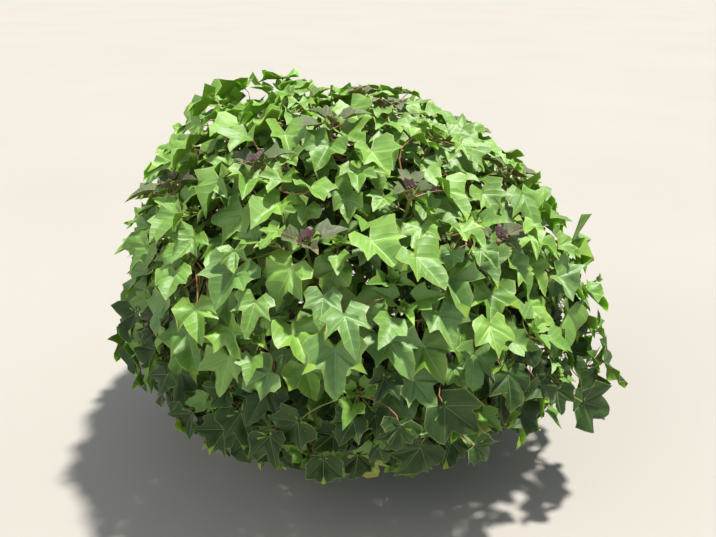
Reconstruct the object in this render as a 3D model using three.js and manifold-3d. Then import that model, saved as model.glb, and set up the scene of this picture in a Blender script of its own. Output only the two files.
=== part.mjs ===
// A young physic nut shrub, rooted in level ground: main stem, boughs, branches and leaf masses.
// Millimetres, +Z up. The origin is the centre of the flat cut under the main stem. +Y runs along
// the planted row, away from the viewer, and +X points to the viewer's right.

import * as THREE from 'three';
import { mergeVertices } from 'three/addons/utils/BufferGeometryUtils.js';
import Module from 'manifold-3d';

const wasm = await Module();
wasm.setup();

// Driving dimensions of the crown. Its skin is a rounded dome that narrows under its shoulder, and
// above it the dome leans sideways, by the lean at its top.
const CROWN = { radius: 875, top: 1285, shoulder: 430, skirt: 85, power: 2.25, lean: -115 };
const CROWN_CENTRE = new THREE.Vector3(0, 0, CROWN.shoulder);
const CROWN_UNDERSIDE_FALL = 0.4;

// Gaps between two pieces that touch on the plant, between two neighbouring masses, and between
// leaves and the limbs that they pass.
const CLEARANCE = 0.3;
const MASS_GAP = 3;
const LIMB_MARGIN = 5;

// Points nearer than the first are one point, and slivers finer than the second are smoothed out.
const MERGED = 1e-3;
const FINEST = 0.07;

// The main stem, with a root flare at the ground and a slight lean to its fork.
const STEM = { radius: 34, topRadius: 27, height: 230, leanX: 10, leanY: 14, sides: 16, steps: 9 };
const FLARE = { radius: 52, ribs: 5, depth: 0.1, power: 5 };

// Limbs taper from their foot to their tip and bow outwards. Radii are those of the living wood.
const BOUGH = { footRadius: 19, tipRadius: 14, sides: 8, steps: 6, bow: 0.35 };
const BRANCH = { footRadius: 11.5, tipRadius: 8.5, sides: 8, steps: 5, bow: 0.2 };
const STRETCH_STEPS = 6;

// The last branch of a bough carries on from its tip, and sets out the way the bough points.
const LEADER = { from: 0.98, lead: 0.4 };

// The stem of a mass carries on from its branch, sunk in it before it is cut to fit.
const MASS_STEM = { footRadius: 7.6, tipRadius: 6.6, sides: 5, steps: 3, length: 190, sunk: 4 };

// Shoots leave the outer part of that stem and turn up towards the light, with some sway.
const SHOOT = { footRadius: 6, tipRadius: 5.2, sides: 3, steps: 3, first: 0.35, last: 0.97 };
const SHOOT_TIP = { lift: 0.75, sway: 0.5, bend: 0.42 };

// Shoot tips are spread over the dome by the golden angle, from its top to below its shoulder, and
// so are the middles of the leaves, in layers from the skin inwards. The lowest is the sine of an
// angle at the crown's centre. Depths are shares of the way from that centre to the skin, at the
// dome's side and at its top.
const GOLDEN_ANGLE = Math.PI * (3 - Math.sqrt(5));
const TIPS = { count: 64, lowest: -0.42, side: 0.8, top: 0.9 };
const LAYERS = [
  { count: 150, lowest: -0.62, side: 0.88, top: 0.955 },
  { count: 120, lowest: -0.6, side: 0.79, top: 0.87 },
  { count: 80, lowest: -0.5, side: 0.68, top: 0.77 },
];

// Leaves are lobed blades on long stalks. A blade faces outwards and up, and hangs down the dome.
// Its middle, droop and up are shares of its length and of the way outwards.
const LEAF = { length: 200, thickness: 6, droop: 0.13, sideDroop: 0.07, middle: 0.36, up: 0.55, sway: 0.4 };

// Half of a blade's outline, across and along, as shares of its length from the base to its tip.
const BLADE_SIDE = [
  [0.44, -0.1],
  [0.59, 0.42],
  [0.27, 0.55],
];
const BLADE_HALF_WIDTH = 0.59;

// A stalk may grow from any node of a shoot. It runs under its blade, and the squarer it meets the
// blade the better, up to the given gain in length. Outside the shoot it is clear of everything.
const STALK = { radius: 2.3, shortest: 45, longest: 220, flattest: 0.15, squareGain: 60, seat: 0.1, clear: 9 };
const NODES = { first: 0.3, last: 0.99, spacing: 0.05 };

// The three corners of a stalk where it meets its blade: behind, ahead to the right and to the left.
const SEAT_TURNS = [-90, 30, 150].map(THREE.MathUtils.degToRad);

// A leaf near a wall of its mass's space is moved in from it, and is then tried at looser places,
// spins and sizes until one has room.
const WALL_MARGIN = 85;
const TRIES = { count: 36, shift: 120, spin: 2.4, smaller: 0.5 };

// Each bough: its bearing from +X in degrees, the height where it leaves the main stem, and its tip.
const BOUGHS = [
  { name: 'bough_front', bearing: 268, foot: 122, reach: 190, rise: 365 },
  { name: 'bough_right', bearing: 340, foot: 185, reach: 205, rise: 395 },
  { name: 'bough_back_right', bearing: 52, foot: 148, reach: 185, rise: 380 },
  { name: 'bough_back_left', bearing: 124, foot: 202, reach: 200, rise: 400 },
  { name: 'bough_left', bearing: 196, foot: 166, reach: 200, rise: 375 },
];

// Each mass: the bough that feeds it, where its branch leaves that bough, and its own heart.
const MASSES = [
  { name: 'front_left_skirt', bough: 'bough_front', from: 0.62, bearing: 241, reach: 560, rise: 400 },
  { name: 'front_right_skirt', bough: 'bough_front', from: 0.8, bearing: 297, reach: 560, rise: 400 },
  { name: 'front_shoulder', bough: 'bough_front', from: LEADER.from, bearing: 268, reach: 440, rise: 770 },
  { name: 'right_skirt', bough: 'bough_right', from: 0.66, bearing: 350, reach: 570, rise: 390 },
  { name: 'right_shoulder', bough: 'bough_right', from: LEADER.from, bearing: 336, reach: 440, rise: 770 },
  { name: 'right_crest', bough: 'bough_right', from: 0.82, bearing: 335, reach: 165, rise: 1010 },
  { name: 'back_right_skirt', bough: 'bough_back_right', from: 0.62, bearing: 40, reach: 560, rise: 400 },
  { name: 'back_skirt', bough: 'bough_back_right', from: 0.8, bearing: 90, reach: 565, rise: 390 },
  { name: 'back_right_shoulder', bough: 'bough_back_right', from: LEADER.from, bearing: 50, reach: 440, rise: 770 },
  { name: 'back_left_skirt', bough: 'bough_back_left', from: 0.64, bearing: 141, reach: 565, rise: 400 },
  { name: 'back_left_shoulder', bough: 'bough_back_left', from: LEADER.from, bearing: 124, reach: 440, rise: 770 },
  { name: 'back_crest', bough: 'bough_back_left', from: 0.82, bearing: 88, reach: 165, rise: 1010 },
  { name: 'left_skirt', bough: 'bough_left', from: 0.64, bearing: 191, reach: 570, rise: 390 },
  { name: 'left_shoulder', bough: 'bough_left', from: LEADER.from, bearing: 197, reach: 440, rise: 770 },
  { name: 'left_crest', bough: 'bough_left', from: 0.82, bearing: 212, reach: 165, rise: 1010 },
];

const BARK = new THREE.MeshStandardMaterial({ color: 0x8c8a70, roughness: 0.8, metalness: 0 });
const YOUNG_BARK = new THREE.MeshStandardMaterial({ color: 0x7f8a5a, roughness: 0.65, metalness: 0 });
const FOLIAGE = new THREE.MeshStandardMaterial({ color: 0x4f8a3a, roughness: 0.5, metalness: 0 });

// A small seeded generator of even numbers from 0 to 1, one for each mass.
const GENERATOR = { scatter: 2654435761, factor: 1664525, offset: 1013904223, states: 2 ** 32 };
function seeded(seed) {
  let state = Math.imul(seed + 1, GENERATOR.scatter) >>> 0;
  return () => {
    state = (Math.imul(state, GENERATOR.factor) + GENERATOR.offset) >>> 0;
    return state / GENERATOR.states;
  };
}

function polar({ bearing, reach, rise }) {
  const angle = THREE.MathUtils.degToRad(bearing);
  return new THREE.Vector3(reach * Math.cos(angle), reach * Math.sin(angle), rise);
}

// How far the crown is shifted sideways at a height.
function leanAt(height) {
  return (CROWN.lean * Math.max(0, height - CROWN.shoulder)) / (CROWN.top - CROWN.shoulder);
}

// A point of an upright crown, moved to where it lies in the leaning one.
function leant(point) {
  return point.setX(point.x + leanAt(point.z));
}

// 1 on the crown's skin and less inside it, even in every direction from the crown's centre.
function crownFill(point) {
  const half = point.z > CROWN.shoulder ? CROWN.top - CROWN.shoulder : CROWN.shoulder - CROWN.skirt;
  const across = Math.hypot(point.x - leanAt(point.z), point.y) / CROWN.radius;
  const up = Math.abs(point.z - CROWN.shoulder) / half;
  return (across ** CROWN.power + up ** CROWN.power) ** (1 / CROWN.power);
}

// The direction that faces away from the crown at a point inside it, less steep on its underside.
function outward(point) {
  const spoke = point.clone().sub(CROWN_CENTRE);
  spoke.x -= leanAt(point.z);
  spoke.z *= spoke.z > 0 ? 1 : CROWN_UNDERSIDE_FALL;
  return spoke.normalize();
}

// Points spread evenly over the crown, at their depth under its skin.
function crownSpread({ count, lowest, side, top }) {
  return Array.from({ length: count }, (_, i) => {
    const sine = 1 - ((i + 0.5) / count) * (1 - lowest);
    const cosine = Math.sqrt(1 - sine * sine);
    const turn = i * GOLDEN_ANGLE;
    const way = new THREE.Vector3(cosine * Math.cos(turn), cosine * Math.sin(turn), sine);
    const skin = 1 / crownFill(leant(CROWN_CENTRE.clone().add(way)));
    const depth = side + (top - side) * Math.max(0, sine) ** 2;
    return leant(CROWN_CENTRE.clone().addScaledVector(way, skin * depth));
  });
}

// A limb's radius at a share of its length, even all round it.
function taper({ footRadius, tipRadius }) {
  return (share) => footRadius + (tipRadius - footRadius) * share;
}

// A closed tube along a curve: a capped cylinder whose rings are moved onto the curve. A grown one
// is thicker all round and longer at both ends by the given amount.
function limbGeometry(curve, sizes, grown = 0, radiusAt = taper(sizes)) {
  const { sides, steps } = sizes;
  const geometry = new THREE.CylinderGeometry(1, 1, 1, sides, steps);
  const frames = curve.computeFrenetFrames(steps);
  const place = geometry.getAttribute('position');
  const point = new THREE.Vector3();
  for (let i = 0; i < place.count; i += 1) {
    point.fromBufferAttribute(place, i);
    const ring = Math.round((point.y + 0.5) * steps);
    const radius = radiusAt(ring / steps, Math.atan2(point.x, point.z)) + grown;
    const overrun = (Number(ring === steps) - Number(ring === 0)) * grown;
    const moved = curve.getPointAt(ring / steps)
      .addScaledVector(frames.tangents[ring], overrun)
      .addScaledVector(frames.normals[ring], point.z * radius)
      .addScaledVector(frames.binormals[ring], point.x * radius);
    place.setXYZ(i, moved.x, moved.y, moved.z);
  }
  return geometry;
}

// The middle of such a tube at a share of its length: it runs straight from ring to ring.
function middleAt(curve, { steps }, share) {
  const ring = Math.min(Math.floor(share * steps), steps - 1);
  const before = curve.getPointAt(ring / steps);
  return before.lerp(curve.getPointAt((ring + 1) / steps), share * steps - ring);
}

function solidOf(geometry) {
  const bare = geometry.clone();
  bare.deleteAttribute('normal');
  bare.deleteAttribute('uv');
  const merged = mergeVertices(bare, MERGED);
  const vertProperties = new Float32Array(merged.getAttribute('position').array);
  const triVerts = new Uint32Array(merged.getIndex().array);
  return new wasm.Manifold(new wasm.Mesh({ numProp: 3, vertProperties, triVerts }));
}

function geometryOf(solid) {
  const mesh = solid.getMesh();
  const geometry = new THREE.BufferGeometry();
  geometry.setAttribute('position', new THREE.BufferAttribute(new Float32Array(mesh.vertProperties), 3));
  geometry.setIndex(new THREE.BufferAttribute(new Uint32Array(mesh.triVerts), 1));
  return geometry;
}

// The one body that matters: loose scraps and sealed hollows are left behind.
function largestBody(solid) {
  return solid.decompose().reduce((best, body) => (body.volume() > best.volume() ? body : best));
}

function node(name, solid, material) {
  const mesh = new THREE.Mesh(geometryOf(solid.asOriginal().simplify(FINEST)), material);
  mesh.name = name;
  return mesh;
}

// The main stem swells to ribs at the ground, as roots do where they leave it.
function stemRadius(share, angle) {
  const bole = STEM.radius + (STEM.topRadius - STEM.radius) * share;
  const flare = (1 - share) ** FLARE.power;
  const rib = 1 + FLARE.depth * flare * Math.cos(FLARE.ribs * angle);
  return (bole + (FLARE.radius - STEM.radius) * flare) * rib;
}

const stemCurve = new THREE.CubicBezierCurve3(
  new THREE.Vector3(0, 0, 0),
  new THREE.Vector3(0, 0, STEM.height / 3),
  new THREE.Vector3(STEM.leanX, STEM.leanY, (STEM.height * 2) / 3),
  new THREE.Vector3(STEM.leanX, STEM.leanY, STEM.height),
);

// A limb leaves its parent's middle, bows outwards and ends at its tip.
function limbCurve(start, tip, bow) {
  const bowed = tip.clone().sub(start).multiply(new THREE.Vector3(bow / 4, bow / 4, -bow / 2));
  return new THREE.QuadraticBezierCurve3(start, start.clone().lerp(tip, 0.5).add(bowed), tip);
}

// A branch and the stem of its mass are two stretches of one curve, from the bough to the heart.
function branchPath({ from, heart }, bough) {
  const start = bough.getPointAt(from);
  if (from !== LEADER.from) {
    return limbCurve(start, heart, BRANCH.bow);
  }
  const lead = start.clone().addScaledVector(bough.getTangentAt(1), start.distanceTo(heart) * LEADER.lead);
  return new THREE.QuadraticBezierCurve3(start, lead, heart);
}

// The part of a curve between two shares of its length, as a smooth curve of its own.
function stretch(curve, from, to) {
  const points = [];
  for (let i = 0; i <= STRETCH_STEPS; i += 1) {
    points.push(curve.getPointAt(from + ((to - from) * i) / STRETCH_STEPS));
  }
  return new THREE.CatmullRomCurve3(points);
}

const boughs = new Map(BOUGHS.map((row) => [
  row.name,
  limbCurve(stemCurve.getPointAt(row.foot / STEM.height), polar(row), BOUGH.bow),
]));

const masses = MASSES.map((row) => {
  const heart = leant(polar(row));
  const path = branchPath({ from: row.from, heart }, boughs.get(row.bough));
  const length = path.getLength();
  const entry = 1 - MASS_STEM.length / length;
  return {
    ...row,
    heart,
    branch: stretch(path, 0, entry),
    stem: stretch(path, entry - MASS_STEM.sunk / length, 1),
    tips: [],
    middles: [],
  };
});

// The walls of a mass's own space lie halfway to each neighbour.
for (const mass of masses) {
  mass.walls = masses.filter((other) => other !== mass).map(({ heart }) => ({
    middle: mass.heart.clone().lerp(heart, 0.5),
    inwards: mass.heart.clone().sub(heart).normalize(),
  }));
}

// How far a point lies inside a wall.
function inside(point, { middle, inwards }) {
  return point.clone().sub(middle).dot(inwards);
}

// A point is in a mass's own space if it is under the skin and on its side of every neighbour.
function inOwnSpace(point, mass) {
  return crownFill(point) <= 1 && mass.walls.every((wall) => inside(point, wall) > MASS_GAP / 2);
}

// A point near the walls of its mass's space, moved in from them so that a leaf has room there.
function drawnIn(point, mass) {
  const moved = point.clone();
  for (const wall of mass.walls) {
    moved.addScaledVector(wall.inwards, Math.max(0, WALL_MARGIN - inside(moved, wall)));
  }
  return moved;
}

// Each shoot tip and each leaf belongs to the mass whose heart is nearest.
function nearestMass(point) {
  return masses.reduce((best, mass) => (
    point.distanceToSquared(mass.heart) < point.distanceToSquared(best.heart) ? mass : best));
}
for (const tip of crownSpread(TIPS)) {
  nearestMass(tip).tips.push(tip);
}
for (const middle of LAYERS.flatMap(crownSpread)) {
  const mass = nearestMass(middle);
  mass.middles.push(drawnIn(middle, mass));
}

// Balls along every bough and branch, which foliage has to stay clear of.
const BALL_SPACING = 8;
function limbBalls(curve, sizes) {
  const count = Math.ceil(curve.getLength() / BALL_SPACING);
  const radiusAt = taper(sizes);
  return Array.from({ length: count + 1 }, (_, i) => (
    { centre: curve.getPointAt(i / count), radius: radiusAt(i / count) }));
}
const balls = [
  ...[...boughs.values()].flatMap((curve) => limbBalls(curve, BOUGH)),
  ...masses.flatMap(({ branch }) => limbBalls(branch, BRANCH)),
];

function touchesLimb(points) {
  return points.some((point) => balls.some(({ centre, radius }) => (
    point.distanceTo(centre) < radius + LIMB_MARGIN)));
}

// Points spread over a triangle, close enough together to find a limb that passes through it.
const COVER_STEPS = 8;
function covered(a, b, c) {
  const points = [];
  for (let i = 0; i <= COVER_STEPS; i += 1) {
    for (let j = 0; j <= COVER_STEPS - i; j += 1) {
      points.push(a.clone().multiplyScalar(i / COVER_STEPS)
        .addScaledVector(b, j / COVER_STEPS)
        .addScaledVector(c, 1 - (i + j) / COVER_STEPS));
    }
  }
  return points;
}

// A shoot runs out from its mass's stem and turns up towards the light at its tip.
function shootCurve(mass, tip, index, random) {
  const share = SHOOT.first + (1 - SHOOT.first) * ((index + 0.5) / mass.tips.length);
  const start = middleAt(mass.stem, MASS_STEM, Math.min(share, SHOOT.last));
  const end = outward(tip);
  end.z += SHOOT_TIP.lift;
  end.x += (random() - 0.5) * SHOOT_TIP.sway;
  end.y += (random() - 0.5) * SHOOT_TIP.sway;
  end.normalize();
  const bend = tip.clone().addScaledVector(end, -SHOOT_TIP.bend * start.distanceTo(tip));
  return new THREE.QuadraticBezierCurve3(start, bend, tip);
}

// The nodes along the outer part of a shoot, where stalks can grow.
function nodesOf(shoot) {
  const nodes = [];
  for (let share = NODES.first; share < NODES.last; share += NODES.spacing) {
    nodes.push(middleAt(shoot, SHOOT, share));
  }
  return nodes;
}

// The node that carries a blade best: near by, and well under the blade.
function bestNode(seat, face, nodes) {
  let best = null;
  let least = Infinity;
  for (const root of nodes) {
    const stalk = seat.clone().sub(root);
    const length = stalk.length();
    const rise = stalk.dot(face) / length;
    const cost = length - STALK.squareGain * rise;
    if (length > STALK.shortest && length < STALK.longest && rise > STALK.flattest && cost < least) {
      least = cost;
      best = root;
    }
  }
  return best;
}

// Where a leaf lies: its blade's middle is given, its face turns outwards and up, and its tip points
// down the dome, apart from its spin.
function leafPose(middle, spin, length, nodes, random) {
  const away = outward(middle);
  const face = away.clone();
  face.x += (random() - 0.5) * LEAF.sway;
  face.y += (random() - 0.5) * LEAF.sway;
  face.z += LEAF.up;
  face.normalize();
  const along = new THREE.Vector3(away.x, away.y, 0).normalize();
  along.z -= 1;
  along.addScaledVector(face, -along.dot(face)).normalize().applyAxisAngle(face, spin);
  const side = new THREE.Vector3().crossVectors(along, face);
  const base = middle.clone().addScaledVector(along, -LEAF.middle * length);
  return { root: bestNode(base, face, nodes), base, face, along, side, length };
}

// The edge of a blade in its own frame, counter-clockwise seen from above, as shares of its length.
function bladeOutline() {
  const left = BLADE_SIDE.toReversed().map(([across, ahead]) => [-across, ahead]);
  return [[0, 0], ...BLADE_SIDE, [0, 1], ...left];
}

// The corners of a blade: its rim, the crest over the stalk's seat and the three corners of the seat.
function bladePoints({ base, face, along, side, length }) {
  const place = (across, ahead, above) => base.clone()
    .addScaledVector(side, across)
    .addScaledVector(along, ahead)
    .addScaledVector(face, above);
  const rim = bladeOutline().map(([across, ahead]) => place(
    across * length,
    ahead * length,
    -(LEAF.droop * ahead ** 2 + LEAF.sideDroop * (across / BLADE_HALF_WIDTH) ** 2) * length,
  ));
  const seat = STALK.seat * length;
  const crest = place(0, seat, LEAF.thickness / 2);
  const seatCorners = SEAT_TURNS.map((turn) => place(
    Math.cos(turn) * STALK.radius,
    seat + Math.sin(turn) * STALK.radius,
    -LEAF.thickness / 2,
  ));
  return { rim, crest, seatCorners };
}

// A leaf is one closed body: a thin shallow roof whose underside runs on into a three-sided stalk.
// The stalk starts at the shoot's middle, or as far from it as is given.
function leafBody(root, { rim, crest, seatCorners }, from = 0) {
  const seat = seatCorners[0].clone().add(seatCorners[1]).add(seatCorners[2]).divideScalar(3);
  const stalkWay = seat.clone().sub(root).normalize();
  const foot = root.clone().addScaledVector(stalkWay, from);
  const footCorners = seatCorners.map((corner) => {
    const spoke = corner.clone().sub(seat);
    spoke.addScaledVector(stalkWay, -spoke.dot(stalkWay)).normalize();
    return foot.clone().addScaledVector(spoke, STALK.radius);
  });
  const count = rim.length;
  const seatAt = count + 1;
  const footAt = seatAt + 3;
  const index = [];
  for (let i = 0; i < count; i += 1) {
    index.push(count, i, (i + 1) % count);
  }
  // Each seat corner is stitched to its own stretch of the rim: behind, to the right and to the left.
  const stretches = [count - 1, count + 1, count + count / 2, count + count - 1];
  for (let k = 0; k < 3; k += 1) {
    const next = (k + 1) % 3;
    for (let i = stretches[k]; i < stretches[k + 1]; i += 1) {
      index.push(seatAt + k, (i + 1) % count, i % count);
    }
    index.push(seatAt + k, seatAt + next, stretches[k + 1] % count);
    index.push(seatAt + k, footAt + k, footAt + next, seatAt + k, footAt + next, seatAt + next);
  }
  index.push(footAt, footAt + 2, footAt + 1);
  const geometry = new THREE.BufferGeometry().setFromPoints([...rim, crest, ...seatCorners, ...footCorners]);
  geometry.setIndex(index);
  return solidOf(geometry);
}

// A leaf keeps to its mass's space and clear of the limbs.
function leafKeepsToSpace({ crest, rim }, root, mass) {
  if (![crest, ...rim].every((point) => inOwnSpace(point, mass))) {
    return false;
  }
  const blade = rim.flatMap((point, i) => covered(crest, point, rim[(i + 1) % rim.length]));
  return !touchesLimb([...blade, ...covered(root, crest, crest)]);
}

// One leaf is tried at a few spins and places round its own, and left out where none has room.
// Outside its shoot it touches nothing, and each node of a shoot carries one leaf.
function leafSolid(middle, mass, nodes, foliage, random) {
  for (let i = 0; i < TRIES.count; i += 1) {
    const loose = i / TRIES.count;
    const shift = new THREE.Vector3(random() - 0.5, random() - 0.5, random() - 0.5);
    const tried = middle.clone().addScaledVector(shift, TRIES.shift * loose);
    const length = LEAF.length * (1 - TRIES.smaller * loose);
    const pose = leafPose(tried, (random() - 0.5) * TRIES.spin * loose, length, nodes, random);
    const points = bladePoints(pose);
    if (pose.root && leafKeepsToSpace(points, pose.root, mass)
      && foliage.intersect(leafBody(pose.root, points, STALK.clear)).isEmpty()) {
      nodes.splice(nodes.indexOf(pose.root), 1);
      return leafBody(pose.root, points);
    }
  }
  return null;
}

// A mass: its stem, the shoots that branch from it, and the leaves on them, fused into one body.
function massSolid(mass, seed) {
  const random = seeded(seed);
  const shoots = mass.tips.map((tip, index) => shootCurve(mass, tip, index, random));
  let foliage = solidOf(limbGeometry(mass.stem, MASS_STEM));
  for (const shoot of shoots) {
    foliage = foliage.add(solidOf(limbGeometry(shoot, SHOOT)));
  }
  const nodes = shoots.flatMap(nodesOf);
  for (const middle of mass.middles) {
    const leaf = leafSolid(middle, mass, nodes, foliage, random);
    foliage = leaf ? foliage.add(leaf) : foliage;
  }
  return largestBody(foliage);
}

// A limb's foot is cut to fit what carries it, with the clearance all round.
function fitted(solid, carrier, sizes, radiusAt = taper(sizes)) {
  return largestBody(solid.subtract(solidOf(limbGeometry(carrier, sizes, CLEARANCE, radiusAt))));
}

const plant = new THREE.Group();
plant.name = 'physic_nut_plant';
plant.add(node('main_stem', solidOf(limbGeometry(stemCurve, STEM, 0, stemRadius)), BARK));
for (const [name, curve] of boughs) {
  const bough = fitted(solidOf(limbGeometry(curve, BOUGH)), stemCurve, STEM, stemRadius);
  plant.add(node(name, bough, BARK));
}
masses.forEach((mass, index) => {
  const branch = fitted(solidOf(limbGeometry(mass.branch, BRANCH)), boughs.get(mass.bough), BOUGH);
  const foliage = fitted(massSolid(mass, index), mass.branch, BRANCH);
  plant.add(node(`${mass.name}_branch`, branch, YOUNG_BARK));
  plant.add(node(`${mass.name}_leaves`, foliage, FOLIAGE));
});

export default plant;
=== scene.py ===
"""A young physic nut shrub, dressed with bark, shoots, stalks, leaves and tip clusters.

The boughs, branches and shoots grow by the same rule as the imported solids. Each leaf's blade has
a place on the dome of the crown, spread by the golden angle, and hangs on a stalk from the node
of a shoot that carries it best. Everything is in metres, with +Z up and +X to the viewer's right.
"""

from __future__ import annotations

import logging
import math
from dataclasses import dataclass, field
from enum import Enum
from typing import Callable, Iterator

import bpy
import numpy as np
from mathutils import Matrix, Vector
from mathutils.bvhtree import BVHTree


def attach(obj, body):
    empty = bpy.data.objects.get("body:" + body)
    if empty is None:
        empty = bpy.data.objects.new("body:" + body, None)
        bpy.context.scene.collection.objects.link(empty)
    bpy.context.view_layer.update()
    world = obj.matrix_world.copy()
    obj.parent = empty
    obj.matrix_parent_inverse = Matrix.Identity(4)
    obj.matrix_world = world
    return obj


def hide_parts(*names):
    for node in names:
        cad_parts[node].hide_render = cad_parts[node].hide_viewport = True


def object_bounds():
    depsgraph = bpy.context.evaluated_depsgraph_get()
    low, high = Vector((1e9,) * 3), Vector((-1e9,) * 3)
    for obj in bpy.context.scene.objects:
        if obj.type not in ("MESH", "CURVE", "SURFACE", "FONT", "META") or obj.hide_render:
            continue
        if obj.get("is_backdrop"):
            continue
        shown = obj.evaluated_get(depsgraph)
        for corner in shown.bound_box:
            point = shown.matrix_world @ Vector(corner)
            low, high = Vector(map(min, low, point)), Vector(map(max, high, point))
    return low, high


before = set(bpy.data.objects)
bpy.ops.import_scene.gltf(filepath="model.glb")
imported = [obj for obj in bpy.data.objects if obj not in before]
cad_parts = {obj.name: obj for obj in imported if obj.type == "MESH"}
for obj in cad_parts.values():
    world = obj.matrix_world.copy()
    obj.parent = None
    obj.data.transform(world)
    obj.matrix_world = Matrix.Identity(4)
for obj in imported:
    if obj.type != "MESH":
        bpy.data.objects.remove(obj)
CAD_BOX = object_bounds()

BODY = "root"
GOLDEN_ANGLE = math.pi * (3.0 - math.sqrt(5.0))
UP = np.array((0.0, 0.0, 1.0))
MILLIMETRE = 0.001
GLOW_RADII = (0.6, 1.0, 0.25)
GLOW_DEPTH = 0.002

Point = np.ndarray
Colour = tuple[float, float, float, float]

logging.basicConfig(level=logging.INFO, format="%(message)s")
log = logging.getLogger("physic_nut")


def unit(vector: Point) -> Point:
    """Return the vector, or each row of a list of vectors, at length 1."""
    return vector / np.linalg.norm(vector, axis=-1, keepdims=True)


def across(first: Point, second: Point) -> Point:
    """Return the cross product of two vectors, which is quicker here than numpy's own.

    Args:
        first: The first vector.
        second: The second vector.

    Returns:
        A vector square to both.
    """
    return np.array((
        first[1] * second[2] - first[2] * second[1],
        first[2] * second[0] - first[0] * second[2],
        first[0] * second[1] - first[1] * second[0],
    ))


def turned(vector: Point, axis: Point, angle: float) -> Point:
    """Turn a vector about a unit axis that it is square to.

    Args:
        vector: The vector to turn.
        axis: The axis, of length 1.
        angle: The angle in radians, counter-clockwise seen from the axis's tip.

    Returns:
        The turned vector.
    """
    return vector * math.cos(angle) + across(axis, vector) * math.sin(angle)


def polar(bearing: float, reach: float, rise: float) -> Point:
    """Return the point at a bearing from +X in degrees, a reach from the axis and a height."""
    angle = math.radians(bearing)
    return np.array((reach * math.cos(angle), reach * math.sin(angle), rise))


def paint(red: int, green: int, blue: int) -> Colour:
    """Turn a screen colour of 0 to 255 a channel into the shader's linear colour.

    Args:
        red: The red channel.
        green: The green channel.
        blue: The blue channel.

    Returns:
        The same colour in linear light, with full cover.
    """
    def linear(channel: int) -> float:
        """Return one channel in linear light."""
        value = channel / 255.0
        return value / 12.92 if value <= 0.04045 else ((value + 0.055) / 1.055) ** 2.4
    return linear(red), linear(green), linear(blue), 1.0


def blend(first: Colour, second: Colour, share: float) -> Colour:
    """Return the colour that lies a share of the way from one colour to another."""
    return tuple(a + (b - a) * share for a, b in zip(first, second))


class Draws:
    """The source's own small generator of even numbers from 0 to 1."""

    SCATTER = 2654435761
    FACTOR = 1664525
    OFFSET = 1013904223
    STATES = 2**32

    def __init__(self, seed: int) -> None:
        """Start the run of numbers that belongs to a seed."""
        self.state = (seed + 1) * self.SCATTER % self.STATES

    def next(self) -> float:
        """Return the next number."""
        self.state = (self.state * self.FACTOR + self.OFFSET) % self.STATES
        return self.state / self.STATES


@dataclass(frozen=True)
class Spread:
    """Points spread over the dome by the golden angle, at a depth under its skin.

    Depths are shares of the way from the crown's centre to its skin, at the dome's side and top.
    The lowest and the highest are sines of angles at that centre.
    """

    count: int
    lowest: float
    side: float
    top: float
    highest: float = 1.0


@dataclass(frozen=True)
class Dimple:
    """A soft hollow in the crown's skin."""

    place: tuple[float, float, float]
    width: float
    depth: float

    def at(self, points: Point) -> Point:
        """Return the hollow's depth at points near the skin."""
        gaps = np.linalg.norm(points - np.array(self.place), axis=-1)
        return self.depth * np.exp(-((gaps / self.width) ** 2))


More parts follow.
